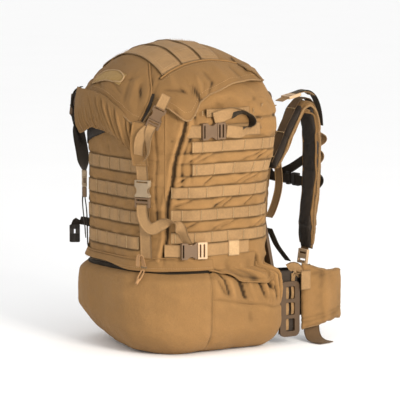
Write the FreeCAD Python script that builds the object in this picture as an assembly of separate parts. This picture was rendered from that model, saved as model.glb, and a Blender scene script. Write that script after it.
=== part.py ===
"""Large framed hunting backpack.

A D-shaped fabric bag stands on its flat base: a wide lower compartment closed by a zip, and a main
compartment above it. A domed lid is hinged on the back edge and closed by two front straps. A
moulded frame at the back carries the shoulder harness and the two wings of the hip belt.
Millimetres; +Z up, -Y is the bag's front, +Y the wearer's side, +X the right-hand side of someone
who looks along +Y at the front. The origin is the centre of the flat base.
"""
import FreeCAD, Part
import math
import os

V = FreeCAD.Vector

# ---- driving dimensions -------------------------------------------------------------------------
# Outlines seen from above: half width, Y of the front, Y of the back, front and back corner radius.
MAIN = (172.0, -150.0, 145.0, 120.0, 85.0)
LOWER = (188.0, -168.0, 162.0, 130.0, 60.0)
LID = (190.0, -180.0, 150.0, 130.0, 90.0)
BACK_Y = 145.0              # the flat back that both compartments share
WALL = 4.0                  # padded fabric wall
BASE_FILLET = 55.0          # rounding between the walls and the base
SHOULDER_FILLET = 17.0      # rounding at the top of the lower compartment
SPLIT_Z = 168.0             # the lower compartment ends and the main one starts
ZIP_Z = 175.0
WALL_TOP = 525.0            # top of the walls, under the lid
GUSSET_Z = 98.0             # seam between the lower side panel and its gathered gusset
SEAM_MAIN_Y = -110.0        # main compartment: front panel to side panel
SEAM_LOWER_Y = -30.0        # lower compartment: front panel to side panel
BACK_HALF_X = 87.0          # half width of the flat back panel
PASS_Y = -118.0             # the divider stops here and leaves a pass between the compartments

DOME_RADIUS = 230.0         # the lid's dome
DOME_Z = 388.0              # height of the dome's centre
LID_WALL = 3.5
LID_EDGE = [(200, 533), (40, 533), (-50, 505), (-95, 465), (-140, 428), (-400, 428)]   # (Y, Z)
HINGE_Y = 149.0
HINGE_Z = 533.0
CHEEK_X = 112.0             # seam between the lid's top and its side cheeks
LID_FRONT_Y = -120.0        # seam between the lid's top and its front skirt
BAND_WIDTH = 43.0           # the broad webbing bands over the lid
BAND_PITCH = 46.0
BAND_START_Y = -98.0

WEB = 25.4                  # webbing width
WEB_T = 1.6                 # webbing thickness
STRAP_LIFT = 3.0            # gap under the straps that cross those rows
BUCKLE_LIFT = 9.8           # centre of a buckle above the bag
FRONT_ROW_Z = 211.0
FRONT_ROW_PITCH = 51.0
FRONT_ROWS = 4
FRONT_ROW_HALF = 93.0       # the front rows end here in X
SIDE_ROW_Z = 226.0
SIDE_ROW_PITCH = 45.0
SIDE_ROW_WIDTH = 22.0
SIDE_ROWS = 5
SIDE_ROW_BACK_Y = 118.0     # the side rows end here
COLLAR_Z = (440.0, 488.0)   # the storm collar's hem and top
COLLAR_T = 2.0
GAP = 0.3                   # least gap between two pieces that touch in the real thing

STRAP_ANGLE = 28.0          # the front straps' place on the corner arcs, degrees round from -Y
FRONT_MOUTH_Z = 318.0       # mouths of the front buckles' sockets
UPPER_STRAP_Z = 448.0
UPPER_MOUTH_Y = -16.0
LOWER_STRAP_Z = 212.0
LOWER_STRAP_ANGLE = 77.0    # the lower side buckle's mouth on the corner arc
PULL_LEAN = 48.0            # the zip pull rests on the lower compartment, degrees off vertical

FRAME_Y = 147.0             # front face of the moulded frame
FRAME_T = 7.0
FRAME_LOW, FRAME_TOP = 22.0, 515.0
SPINE_T = 5.0
LADDER_X = 165.0            # the ladder wings that carry the hip belt
LADDER_END_Y = 197.0
HARNESS_X = 92.0            # centre of each shoulder pad
HARNESS_WIDTH = 68.0
PAD_T = 18.0
PAD_PATH = [(176, 352), (214, 430), (254, 501), (281, 440), (281, 330), (260, 184)]   # (Y, Z)
PAD_RADII = [150, 22, 60, 200]
STERNUM_Z = 316.0
STERNUM_Y = 293.0
SMALL_BUCKLE = 0.8
WIDE_BUCKLE = 1.3
WING_PATH = [(165, 208), (169, 244), (150, 305)]      # (X, Y); a wing turns about its first point
WING_T = 20.0
WING_SIDE = [(190, 26), (320, 42), (320, 143), (190, 168)]                            # (Y, Z)
HIP_STRAP_Y = 237.0

SIDES = (("right", 1), ("left", -1))
FAR = 1000.0                # bigger than anything here, for cutting boxes


# ---- general helpers ----------------------------------------------------------------------------
def box(x0, x1, y0, y1, z0, z1):
    return Part.makeBox(x1 - x0, y1 - y0, z1 - z0, V(x0, y0, z0))


def plan_face(plan, grow, z):
    """A compartment's outline, grown outwards, as a face at height z."""
    half, front, back, front_radius, back_radius = plan
    half, front, back = half + grow, front - grow, back + grow
    rf, rb = front_radius + grow, back_radius + grow
    corners = [(half - rf, front + rf, rf, -90), (half - rb, back - rb, rb, 0),
               (rb - half, back - rb, rb, 90), (rf - half, front + rf, rf, 180)]
    arcs = []
    for x, y, r, start in corners:
        turns = [math.radians(start + t) for t in (0, 45, 90)]
        arcs.append([V(x + r * math.cos(t), y + r * math.sin(t), z) for t in turns])
    edges = []
    for i, arc in enumerate(arcs):
        edges.append(Part.Arc(*arc).toShape())
        edges.append(Part.makeLine(arc[2], arcs[(i + 1) % 4][0]))
    return Part.Face(Part.Wire(edges))


def prism(plan, grow, z0, z1):
    return plan_face(plan, grow, z0).extrude(V(0, 0, z1 - z0))


def ring(plan, inner, outer, z0, z1):
    """A band that follows an outline between two offsets."""
    return prism(plan, outer, z0, z1).cut(prism(plan, inner, z0 - 1, z1 + 1))


def rounded_prism(plan, grow, z0, z1, low_radius, high_radius):
    solid = prism(plan, grow, z0, z1)
    low = [e for e in solid.Edges if all(abs(v.Z - z0) < 1e-6 for v in e.Vertexes)]
    high = [e for e in solid.Edges if all(abs(v.Z - z1) < 1e-6 for v in e.Vertexes)]
    return solid.makeFillet(low_radius, low).makeFillet(high_radius, high)


def side_prism(outline):
    """A (Y, Z) outline extruded along the whole of X."""
    face = Part.Face(Part.makePolygon([V(-FAR, y, z) for y, z in outline + outline[:1]]))
    return face.extrude(V(2 * FAR, 0, 0))


def dome(grow):
    return Part.makeSphere(DOME_RADIUS + grow, V(0, 0, DOME_Z))


def mirrored(shape):
    return shape.mirror(V(0, 0, 0), V(1, 0, 0))


def on_side(shape, sign):
    return shape if sign > 0 else mirrored(shape)


def plane_map(origin, across, up):
    """Maps 2D path coordinates to 3D."""
    return lambda p: origin + across * p.real + up * p.imag


def path_edges(points, radii, shift, to3d):
    """Edges along a path of straight runs and tangent arcs, shifted to its left."""
    p = [complex(*q) for q in points]
    d = [(b - a) / abs(b - a) for a, b in zip(p, p[1:])]
    last = p[0] + shift * 1j * d[0]
    edges = []
    for i, r in enumerate(radii, 1):
        turn = math.remainder(math.atan2((d[i] / d[i - 1]).imag, (d[i] / d[i - 1]).real), 2 * math.pi)
        sign = 1 if turn > 0 else -1
        reach = r * math.tan(abs(turn) / 2)
        n0, n1 = 1j * d[i - 1], 1j * d[i]
        centre = p[i] - reach * d[i - 1] + sign * r * n0
        middle = centre - sign * (r - sign * shift) * (n0 + n1) / abs(n0 + n1)
        start, end = p[i] - reach * d[i - 1] + shift * n0, p[i] + reach * d[i] + shift * n1
        edges.append(Part.makeLine(to3d(last), to3d(start)))
        edges.append(Part.Arc(to3d(start), to3d(middle), to3d(end)).toShape())
        last = end
    edges.append(Part.makeLine(to3d(last), to3d(p[-1] + shift * 1j * d[-1])))
    return edges


def ribbon(points, radii, thickness, width, origin, across, up, offset=0.0, round_start=False):
    """A strip of constant thickness beside a 2D path, extruded width/2 to both sides of its plane."""
    to3d = plane_map(origin, across, up)
    left = path_edges(points, radii, offset + thickness / 2, to3d)
    right = path_edges(points, radii, offset - thickness / 2, to3d)
    a, b = left[0].Vertexes[0].Point, right[0].Vertexes[0].Point
    if round_start:
        first, second = complex(*points[0]), complex(*points[1])
        nose = to3d(first - thickness / 2 * (second - first) / abs(second - first))
        start = Part.Arc(a, nose, b).toShape()
    else:
        start = Part.makeLine(a, b)
    end = Part.makeLine(left[-1].Vertexes[-1].Point, right[-1].Vertexes[-1].Point)
    face = Part.Face(Part.Wire(Part.__sortEdges__([start, *left, end, *right])))
    normal = across.cross(up)
    face.translate(normal * (-width / 2))
    return face.extrude(normal * width)


def placed(shape, origin, pull, outward):
    """Moves a shape from its own axes (x: pull, z: outward) to a place on the bag."""
    side = outward.cross(pull)
    matrix = FreeCAD.Matrix(pull.x, side.x, outward.x, origin.x,
                            pull.y, side.y, outward.y, origin.y,
                            pull.z, side.z, outward.z, origin.z, 0, 0, 0, 1)
    moved = shape.copy()
    moved.Placement = FreeCAD.Placement(matrix)
    return moved


def corner_place(angle, lift, z):
    """A point off the main compartment's right front corner, angle degrees round from -Y.

    Gives the point, the outward normal, and the way round the corner towards the back.
    """
    half, front, _, radius, _ = MAIN
    a = math.radians(angle)
    normal = V(math.sin(a), -math.cos(a), 0)
    point = V(half - radius, front + radius, z) + normal * (radius + lift)
    return point, normal, V(math.cos(a), math.sin(a), 0)


# ---- buckles ------------------------------------------------------------------------------------
def rounded_block(x0, x1, half_width, half_height, radius):
    block = box(x0, x1, -half_width, half_width, -half_height, half_height)
    return block.makeFillet(radius, block.Edges)


def buckle_socket(scale=1.0):
    """The female half for 25 mm webbing: mouth at x = 0, webbing slot at its far end."""
    body = rounded_block(-34, 0, 17, 4.7, 1.6)
    body = body.cut(box(-26, 1, -12.8, 12.8, -2.7, 2.7))
    body = body.cut(box(-31.6, -28.4, -13, 13, -5, 5))
    for side in (1, -1):
        window = Part.makeCylinder(11, 20, V(-13, side * 22.6, -10))
        body = body.cut(window)
    return body.scaled(scale) if scale != 1.0 else body


def buckle_clip(scale=1.0):
    """The male half: a two-slot ladder bar and three prongs that lie in the socket."""
    body = rounded_block(0.5, 21, 17, 4.2, 1.6)
    for x in (4.0, 12.0):
        body = body.cut(box(x, x + 3.6, -13, 13, -5, 5))
    for side in (1, -1):
        arm = box(-23, 2, min(side * 7.6, side * 12.0), max(side * 7.6, side * 12.0), -2.2, 2.2)
        body = body.fuse(arm)
    guide = box(-20, 2, -1.8, 1.8, -2.2, 2.2)
    body = body.fuse(guide).removeSplitter()
    return body.scaled(scale) if scale != 1.0 else body


# ---- bag ----------------------------------------------------------------------------------------
def lower_shell():
    ahead = box(-FAR, FAR, -FAR, BACK_Y, -1, FAR)
    outer = rounded_prism(LOWER, 0, 0, SPLIT_Z, BASE_FILLET, SHOULDER_FILLET).common(ahead)
    inner = rounded_prism(LOWER, -WALL, WALL, SPLIT_Z - WALL, BASE_FILLET - WALL, SHOULDER_FILLET - WALL)
    inner = inner.common(box(-FAR, FAR, -FAR, BACK_Y - WALL, -1, FAR))
    return outer.cut(inner).cut(prism(MAIN, -WALL, SPLIT_Z - 30, SPLIT_Z + 1))


def main_shell():
    walls = ring(MAIN, -WALL, 0, SPLIT_Z, WALL_TOP)
    under_lid = dome(-LID_WALL - 4.5).fuse(box(-FAR, FAR, -FAR, FAR, 0, DOME_Z))
    low_front = [(BACK_Y, WALL_TOP), (-60, 512), (-FAR, 498), (-FAR, FAR), (BACK_Y, FAR)]
    return walls.common(under_lid).cut(side_prism(low_front))


def make_bag(parts):
    lower, main = lower_shell(), main_shell()
    base_tool = prism(LOWER, -BASE_FILLET, -1, WALL)
    back_tool = box(-BACK_HALF_X, BACK_HALF_X, 90, FAR, -1, FAR)
    parts["base_panel"] = lower.common(base_tool)
    walls = lower.cut(base_tool)
    parts["back_panel"] = walls.fuse(main).common(back_tool).removeSplitter()
    walls, main = walls.cut(back_tool), main.cut(back_tool)
    parts["lower_front_panel"] = walls.common(box(-FAR, FAR, -FAR, SEAM_LOWER_Y, -1, FAR))
    parts["main_front_panel"] = main.common(box(-FAR, FAR, -FAR, SEAM_MAIN_Y, -1, FAR))
    for side, sign in SIDES:
        x0, x1 = (0, FAR) if sign > 0 else (-FAR, 0)
        parts[f"lower_side_panel_{side}"] = walls.common(box(x0, x1, SEAM_LOWER_Y, FAR, -1, GUSSET_Z))
        parts[f"side_gusset_{side}"] = walls.common(box(x0, x1, SEAM_LOWER_Y, FAR, GUSSET_Z, FAR))
        parts[f"main_side_panel_{side}"] = main.common(box(x0, x1, SEAM_MAIN_Y, FAR, -1, FAR))
    divider = prism(MAIN, -WALL - GAP, SPLIT_Z - 3, SPLIT_Z)
    parts["compartment_divider"] = divider.common(box(-FAR, FAR, PASS_Y, FAR, 0, FAR))
    parts["storm_collar"] = ring(MAIN, -WALL - GAP - COLLAR_T, -WALL - GAP, *COLLAR_Z)


def make_webbing_rows(parts):
    front = []
    for i in range(FRONT_ROWS):
        z = FRONT_ROW_Z + i * FRONT_ROW_PITCH
        band = ring(MAIN, GAP, GAP + WEB_T, z, z + WEB)
        front.append(band.common(box(-FRONT_ROW_HALF, FRONT_ROW_HALF, -FAR, 0, 0, FAR)))
    parts["webbing_rows_front"] = Part.makeCompound(front)
    rows = []
    for i in range(SIDE_ROWS):
        z = SIDE_ROW_Z + i * SIDE_ROW_PITCH
        band = ring(MAIN, GAP, GAP + WEB_T, z, z + SIDE_ROW_WIDTH)
        rows.append(band.common(box(0, FAR, SEAM_MAIN_Y, SIDE_ROW_BACK_Y, 0, FAR)))
    for side, sign in SIDES:
        parts[f"webbing_rows_{side}"] = Part.makeCompound([on_side(row, sign) for row in rows])


def make_zip(parts):
    """The zip between the compartments; its slider runs round the right front corner."""
    wrap = box(-FAR, FAR, -FAR, SEAM_LOWER_Y, 0, FAR)
    parts["zip_tape"] = ring(MAIN, GAP, GAP + 1, ZIP_Z - 6, ZIP_Z + 6).common(wrap)
    parts["zip_flap"] = ring(MAIN, GAP, GAP + WEB_T, ZIP_Z + 7, ZIP_Z + 21).common(wrap)
    point, normal, along = corner_place(STRAP_ANGLE, 4.2, ZIP_Z)
    parts["zip_slider"] = placed(rounded_block(-7, 7, 5, 2.4, 1.2), point, along, normal)
    lean = math.radians(PULL_LEAN)
    down = normal * math.sin(lean) - V(0, 0, 1) * math.cos(lean)
    out = normal * math.cos(lean) + V(0, 0, 1) * math.sin(lean)
    eye = Part.makeCylinder(1.3, 8, V(0, -4, 0), V(0, 1, 0))
    blade = box(0.6, 34, -3.6, 3.6, -0.9, 0.9)
    pull = eye.fuse(blade.makeFillet(0.7, blade.Edges)).removeSplitter()
    hang, _, _ = corner_place(STRAP_ANGLE, 9.0, ZIP_Z - 3)
    parts["zip_pull"] = placed(pull, hang, down, out)


# ---- straps on the bag --------------------------------------------------------------------------
def side_buckles():
    """Place, pull direction and outward normal of the right side's two buckles, with their strap's height."""
    low, low_out, low_pull = corner_place(LOWER_STRAP_ANGLE, BUCKLE_LIFT, LOWER_STRAP_Z)
    high = V(MAIN[0] + BUCKLE_LIFT, UPPER_MOUTH_Y, UPPER_STRAP_Z)
    return (("upper", high, V(0, 1, 0), V(1, 0, 0)), ("lower", low, low_pull, low_out))


def make_side_straps(parts):
    """Two compression straps on each side: sewn strap and socket in front, clip and tail behind."""
    sewn_from = {"upper": -80, "lower": -108}
    tail_to = {"upper": 58, "lower": 66}
    sockets, anchors, tails = [], [], []
    for name, origin, pull, outward in side_buckles():
        socket = placed(buckle_socket(), origin, pull, outward)
        clip = placed(buckle_clip(), origin, pull, outward)
        z = origin.z
        band = ring(MAIN, STRAP_LIFT, STRAP_LIFT + WEB_T, z - WEB / 2, z + WEB / 2)
        anchor = band.common(box(0, FAR, sewn_from[name], origin.y - 28, 0, FAR))
        tail = band.common(box(0, FAR, origin.y + 4, tail_to[name], 0, FAR))
        for side, sign in SIDES:
            parts[f"side_clip_{name}_{side}"] = on_side(clip, sign)
            sockets.append(on_side(socket, sign))
            anchors.append(on_side(anchor, sign))
            tails.append(on_side(tail, sign))
    parts["side_buckle_sockets"] = Part.makeCompound(sockets)
    parts["side_strap_anchors"] = Part.makeCompound(anchors)
    parts["side_strap_tails"] = Part.makeCompound(tails)


def make_front_straps(parts):
    """The straps that hold the lid down: sockets hang from the lid, clips stand on the bag's straps."""
    up = V(0, 0, 1)
    point, normal, _ = corner_place(STRAP_ANGLE, BUCKLE_LIFT, FRONT_MOUTH_Z)
    socket = placed(buckle_socket(), point, -up, normal)
    clip = placed(buckle_clip(), point, -up, normal)
    foot, _, _ = corner_place(STRAP_ANGLE, 0, 0)
    strap = ribbon([(STRAP_LIFT + WEB_T / 2, 198), (STRAP_LIFT + WEB_T / 2, 300)], [], WEB_T, WEB,
                   foot, normal, up)
    hang = ribbon([(34, 462), (34, 432), (11, 384), (BUCKLE_LIFT, 353)], [20, 60], WEB_T, WEB,
                  foot, normal, up)
    tongue = ribbon([(36, 456), (36, 431), (14, 386)], [22], 1.6, 40, foot, normal, up)
    parts["front_straps"] = Part.makeCompound([strap, mirrored(strap)])
    parts["lid_strap_webbing"] = Part.makeCompound([hang, tongue, mirrored(hang), mirrored(tongue)])
    parts["lid_buckle_sockets"] = Part.makeCompound([socket, mirrored(socket)])
    for side, sign in SIDES:
        parts[f"front_clip_{side}"] = on_side(clip, sign)
    half, front, _, radius, _ = LID
    a = math.radians(46)
    outward = V(math.sin(a), -math.cos(a), 0)
    corner = V(half - radius, front + radius, 474) + outward * (radius + 5.4)
    lean = V(-math.cos(a), -math.sin(a), 0) * 0.45 - up
    lean.normalize()
    halves = [placed(make(SMALL_BUCKLE), corner, lean, outward) for make in (buckle_socket, buckle_clip)]
    parts["lid_corner_buckles"] = Part.makeCompound(halves + [mirrored(h) for h in halves])


# ---- lid ----------------------------------------------------------------------------------------
def lid_shell():
    outer = prism(LID, 0, 400, 700).common(dome(0))
    inner = prism(LID, -LID_WALL, 390, 710).common(dome(-LID_WALL))
    return outer.cut(inner).cut(side_prism(LID_EDGE + [(-400, 0), (200, 0)]))


def make_lid(parts):
    shell = lid_shell()
    parts["lid_front_skirt"] = shell.common(box(-FAR, FAR, -FAR, LID_FRONT_Y, 0, FAR))
    parts["lid_top_panel"] = shell.common(box(-CHEEK_X, CHEEK_X, LID_FRONT_Y, FAR, 0, FAR))
    cheek = shell.common(box(CHEEK_X, FAR, LID_FRONT_Y, FAR, 0, FAR))
    for side, sign in SIDES:
        parts[f"lid_cheek_{side}"] = on_side(cheek, sign)
    parts["lid_hinge_piping"] = Part.makeCylinder(
        2.4, 2 * BACK_HALF_X, V(-BACK_HALF_X, HINGE_Y - 0.6, HINGE_Z - 2.8), V(1, 0, 0))
    skin = dome(GAP + WEB_T).cut(dome(GAP))
    bands = []
    for i in range(3):
        y = BAND_START_Y + i * BAND_PITCH
        bands.append(skin.common(box(-CHEEK_X, CHEEK_X, y, y + BAND_WIDTH, DOME_Z, FAR)))
    parts["lid_webbing_bands"] = Part.makeCompound(bands)
    parts["name_patch"] = skin.common(box(-55, 55, -163, -142, DOME_Z, FAR))


# ---- frame and pads -----------------------------------------------------------------------------
def slot(x0, x1, y0, y1, z0, z1, radius, length):
    """A cutting block whose edges of the given length are rounded."""
    block = box(x0, x1, y0, y1, z0, z1)
    return block.makeFillet(radius, [e for e in block.Edges if abs(e.Length - length) < 1e-6])


def make_frame(parts):
    half = [(0, FRAME_LOW), (140, FRAME_LOW), (140, 150), (104, 262), (104, 340), (128, 430),
            (128, FRAME_TOP), (0, FRAME_TOP)]
    loop = half + [(-x, z) for x, z in reversed(half[1:-1])]
    plate = Part.Face(Part.makePolygon([V(x, FRAME_Y, z) for x, z in loop + loop[:1]]))
    plate = plate.extrude(V(0, FRAME_T, 0))
    plate = plate.makeFillet(14, [e for e in plate.Edges if abs(e.Length - FRAME_T) < 1e-6])
    slots = []
    reaches = (104, 104, 104, 96, 84, 76, 70, 70, 74, 84, 96, 98)
    for row, reach in enumerate(reaches):
        z = 44 + 38 * row
        count = 2 if reach < 90 else 3
        pitch = reach / count
        for i in range(count):
            x = 10 + i * pitch
            cell = slot(x, x + pitch - 9, FRAME_Y - 1, FRAME_Y + FRAME_T + 1, z, z + 24, 5, FRAME_T + 2)
            slots += [cell, mirrored(cell)]
    plate = plate.cut(Part.makeCompound(slots))
    rear = FRAME_Y + FRAME_T
    spine = box(-5, 5, rear, rear + SPINE_T, FRAME_LOW + 8, FRAME_TOP - 8)
    parts["frame"] = plate.fuse(spine).removeSplitter()
    ladder = slot(LADDER_X - 2.5, LADDER_X + 2.5, FRAME_Y + 2, LADDER_END_Y, 17, 130, 12, 5)
    for i in range(3):
        z = 28 + 33 * i
        ladder = ladder.cut(slot(LADDER_X - 5, LADDER_X + 5, 163, 185, z, z + 26, 3, 10))
    arm = box(120, LADDER_X - 2.5, rear, rear + 4, 30, 126)
    for side, sign in SIDES:
        parts[f"frame_hip_ladder_{side}"] = on_side(ladder.fuse(arm).removeSplitter(), sign)


def cushion(x0, x1, y0, y1, z0, z1, radius):
    block = box(x0, x1, y0, y1, z0, z1)
    return block.makeFillet(radius, block.Edges)


def make_pads(parts):
    rear = FRAME_Y + FRAME_T + SPINE_T + 0.4
    parts["back_pad"] = cushion(-44, 44, rear, rear + 16, 236, 470, 7)
    parts["lumbar_pad"] = cushion(-116, 116, rear, rear + 24, 38, 146, 10)
    grip_y = rear + 1 + WEB / 2
    parts["haul_handle"] = ribbon([(-62, 0), (-50, 28), (50, 28), (62, 0)], [14, 14], 3.2, WEB,
                                  V(0, grip_y, FRAME_TOP - 27), V(1, 0, 0), V(0, 0, 1))


# ---- shoulder harness ---------------------------------------------------------------------------
def harness_ribbon(points, radii, thickness, width, x=HARNESS_X, **extra):
    return ribbon(points, radii, thickness, width, V(x, 0, 0), V(0, 1, 0), V(0, 0, 1), **extra)


def both(shape):
    return [shape, mirrored(shape)]


def make_harness(parts):
    pad = harness_ribbon(PAD_PATH, PAD_RADII, PAD_T, HARNESS_WIDTH, round_start=True)
    for side, sign in SIDES:
        parts[f"shoulder_pad_{side}"] = on_side(pad, sign)
    facing = harness_ribbon(PAD_PATH, PAD_RADII, WEB_T, WEB, offset=PAD_T / 2 + 0.3 + WEB_T / 2)
    lifter = harness_ribbon([(194, 489), (259, 503)], [], WEB_T, WEB)
    parts["shoulder_pad_webbing"] = Part.makeCompound(both(facing) + both(lifter))
    lock = rounded_block(-15, 15, 16, 3.2, 1.4)
    for x in (-9, 5):
        lock = lock.cut(box(x, x + 4, -13, 13, -5, 5))
    (y0, z0), (y1, z1) = PAD_PATH[-2:]
    down = V(0, y1 - y0, z1 - z0).normalize()
    low = placed(lock, V(HARNESS_X, y1, z1) + down * 17, down, V(0, -down.z, down.y))
    slope = V(0, 65, 14).normalize()
    high = placed(lock, V(HARNESS_X, 226, 500.5), slope, V(0, -slope.z, slope.y))
    parts["shoulder_ladder_locks"] = Part.makeCompound(both(low) + both(high))
    lower = harness_ribbon([(252, 143), (222, 122), (188, 120)], [30], WEB_T, WEB)
    tab = harness_ribbon([(160, 479), (180, 482)], [], WEB_T, WEB)
    stay = harness_ribbon([(161, 232), (176, 200), (206, 164)], [60], WEB_T, 20, x=112)
    yoke = harness_ribbon([(194, 336), (192, 300), (172, 256)], [60], WEB_T, WEB)
    parts["frame_strap_webbing"] = Part.makeCompound(both(lower) + both(tab) + both(stay))
    parts["yoke_straps"] = Part.makeCompound(both(yoke))


def make_sternum(parts):
    """The chest strap across the shoulder pads; its clip is on the right."""
    band = box(10, HARNESS_X, STERNUM_Y, STERNUM_Y + WEB_T, STERNUM_Z - 10, STERNUM_Z + 10)
    middle = V(0, STERNUM_Y + WEB_T + 4.4, STERNUM_Z)
    parts["sternum_webbing"] = Part.makeCompound(both(band))
    parts["sternum_socket"] = placed(buckle_socket(SMALL_BUCKLE), middle, V(1, 0, 0), V(0, 1, 0))
    parts["sternum_clip"] = placed(buckle_clip(SMALL_BUCKLE), middle, V(1, 0, 0), V(0, 1, 0))


# ---- hip belt -----------------------------------------------------------------------------------
def make_hip_belt(parts):
    """Two padded wings; the unfastened belt's webbing hangs inside them and lies out on the ground."""
    low, high = WING_SIDE[0][1], WING_SIDE[3][1]
    wing = ribbon(WING_PATH, [60], WING_T, high - low, V(0, 0, (low + high) / 2), V(1, 0, 0), V(0, 1, 0),
                  round_start=True)
    wing = wing.common(side_prism(WING_SIDE))
    strap = ribbon([(151, 100), (151, 20), (170, 1.9), (194, 1.9)], [22, 18], WEB_T, 38,
                   V(0, HIP_STRAP_Y, 0), V(1, 0, 0), V(0, 0, 1))
    inward = V(-1, 0, 0)
    clip = placed(buckle_clip(WIDE_BUCKLE), V(143.4, HIP_STRAP_Y, 60), V(0, 0, 1), inward)
    socket = placed(buckle_socket(WIDE_BUCKLE), V(143.4, HIP_STRAP_Y, 45), V(0, 0, -1), inward)
    for side, sign in SIDES:
        parts[f"hip_wing_{side}"] = on_side(wing, sign)
        parts[f"hip_strap_{side}"] = on_side(strap, sign)
    parts["hip_clip"] = clip
    parts["hip_socket"] = mirrored(socket)


def main():
    os.makedirs("parts", exist_ok=True)
    parts = {}
    for make in (make_bag, make_webbing_rows, make_zip, make_side_straps, make_front_straps, make_lid,
                 make_frame, make_pads, make_harness, make_sternum, make_hip_belt):
        make(parts)
    for old in os.listdir("parts"):
        if old.endswith(".step") and old[:-5] not in parts:
            os.remove(os.path.join("parts", old))
    for name, shape in sorted(parts.items()):
        shape.exportStep(f"parts/{name}.step")
        volume = shape.Volume / 1000
        print(f"{name:26s} solids {len(shape.Solids)}  {volume:8.2f} cm3  valid {shape.isValid()}")


if __name__ == "__main__":
    main()
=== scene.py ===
"""Looks of the framed hunting backpack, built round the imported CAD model. Sizes below are in millimetres."""
import math

import bpy
import numpy as np
from mathutils import Matrix


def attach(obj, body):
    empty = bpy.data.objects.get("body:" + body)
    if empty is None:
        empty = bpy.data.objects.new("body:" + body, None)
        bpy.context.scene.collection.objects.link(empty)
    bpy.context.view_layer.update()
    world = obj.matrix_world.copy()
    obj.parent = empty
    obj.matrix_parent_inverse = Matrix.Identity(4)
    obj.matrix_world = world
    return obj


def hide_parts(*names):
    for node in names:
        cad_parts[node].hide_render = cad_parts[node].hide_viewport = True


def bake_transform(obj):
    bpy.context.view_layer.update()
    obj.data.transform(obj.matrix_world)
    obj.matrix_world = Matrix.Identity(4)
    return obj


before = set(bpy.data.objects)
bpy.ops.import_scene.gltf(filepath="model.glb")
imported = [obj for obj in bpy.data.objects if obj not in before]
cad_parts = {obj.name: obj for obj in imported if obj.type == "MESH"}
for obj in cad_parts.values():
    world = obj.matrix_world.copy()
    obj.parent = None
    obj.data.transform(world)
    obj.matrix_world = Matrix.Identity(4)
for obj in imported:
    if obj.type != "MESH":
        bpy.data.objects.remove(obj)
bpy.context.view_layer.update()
MM = 0.001
PI = math.pi
UP = np.array([0, 0, 1.0])
SIDES = ((1, "right"), (-1, "left"))

# ---- sizes shared with the part -----------------------------------------------------------------
# Outlines seen from above: half width, Y of the front, Y of the back, front and back corner radius.
MAIN = (172.0, -150.0, 145.0, 120.0, 85.0)
LOWER = (188.0, -168.0, 162.0, 130.0, 60.0)
LID = (190.0, -180.0, 150.0, 130.0, 90.0)
BACK_Y = 145.0
DOME_R, DOME_Z = 230.0, 388.0
WEB, WEB_T = 25.4, 1.6
FRONT_ROWS = [211 + 51 * i for i in range(4)]
SIDE_ROWS = [226 + 45 * i for i in range(5)]
SIDE_ROW_W = 22.0
TACK = 38.1
STRAP_ANGLE = math.radians(28)
# The panels' seams, measured round the outline from the front centre.
SEAM_S, LOWER_SEAM_S, BACK_SEAM_S, LOW_BACK_S = 153.0, 246.0, 464.0, 492.0
HALF_ROUND = 551.0      # half the main outline
CLOTH_T = 2.4           # a bag panel's thickness
BASE_ROUND = 55.0       # radius of the base's rounded edge
CHANGE_Z = (149, 170)   # between these heights the lower outline changes into the main one
MOUTH_REACH = 217.0     # how far the drawn-in mouth reaches from the middle
SKEW = np.array([0.5446, 0.8387, 0])        # from the front left corner towards the rear right one
SEAM_Z, ZIP_Z, ZIP_END = 169.0, 175.0, 250.0
PAD_X = 92.0
STERNUM_Z = 316.0
PAD_PATH = [(176, 352), (214, 430), (254, 501), (281, 440), (281, 330), (260, 184)]


# ---- number helpers -----------------------------------------------------------------------------
def smooth(x, a, b):
    t = np.clip((np.asarray(x, float) - a) / (b - a), 0, 1)
    return t * t * (3 - 2 * t)


def window(x, a, b, c, d):
    """Rises from 0 to 1 between a and b, and falls again between c and d."""
    rise, fall = smooth(x, a, b), smooth(x, c, d)
    return rise * (1 - fall)


def bump(x, centre, width):
    return np.exp(-((x - centre) / width) ** 2)


def wobble(p, wavelength, seed):
    """Smooth noise in -1..1 at points p (..., 3), in millimetres."""
    draw = np.random.default_rng(seed)
    total = 0
    for _ in range(7):
        direction = draw.normal(size=3)
        direction /= np.linalg.norm(direction)
        k = 2 * PI / (wavelength * draw.uniform(0.6, 1.5))
        total = total + np.sin(p @ direction * k + draw.uniform(0, 2 * PI))
    return total / 4


def crumple(p, wavelength, seed):
    """Irregular sharp wrinkles, 0..1, that come and go over the cloth."""
    ridge = np.exp(-(wobble(p, wavelength, seed) / 0.14) ** 2)
    return ridge * smooth(wobble(p, 1.7 * wavelength, seed + 50), -0.1, 0.55)


def crease(p, a, b, depth, width, ends=0.25, middle=3.0):
    """A fold along the segment a-b: a positive depth is a groove, a negative one a ridge."""
    a, b = np.array(a, float), np.array(b, float)
    run = b - a
    t = np.clip(((p - a) * run).sum(-1) / (run * run).sum(-1), 0, 1)
    away = np.linalg.norm(p - (a + t[..., None] * run), axis=-1)
    return -depth * np.exp(-(away / width) ** 2) * (ends + middle * t * (1 - t))


def line_fold(a, z, start, end, depth, width):
    """The same kind of fold, for points (a, z) of an unrolled panel."""
    p, start, end = [np.stack(np.broadcast_arrays(*q), -1) for q in ((a, z), start, end)]
    return crease(p, start, end, depth, width, 0.35, 2.6)


def unit(v):
    return v / np.maximum(np.linalg.norm(v, axis=-1, keepdims=True), 1e-9)


def grid_normals(p):
    return unit(np.cross(np.gradient(p, axis=0), np.gradient(p, axis=1)))


def run_of(points):
    """The distance travelled along a path at each of its points."""
    return np.r_[0, np.cumsum(np.linalg.norm(np.diff(points, axis=0), axis=1))]


def between(at, run, points):
    return np.stack([np.interp(at, run, column) for column in np.asarray(points, float).T], -1)


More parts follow.
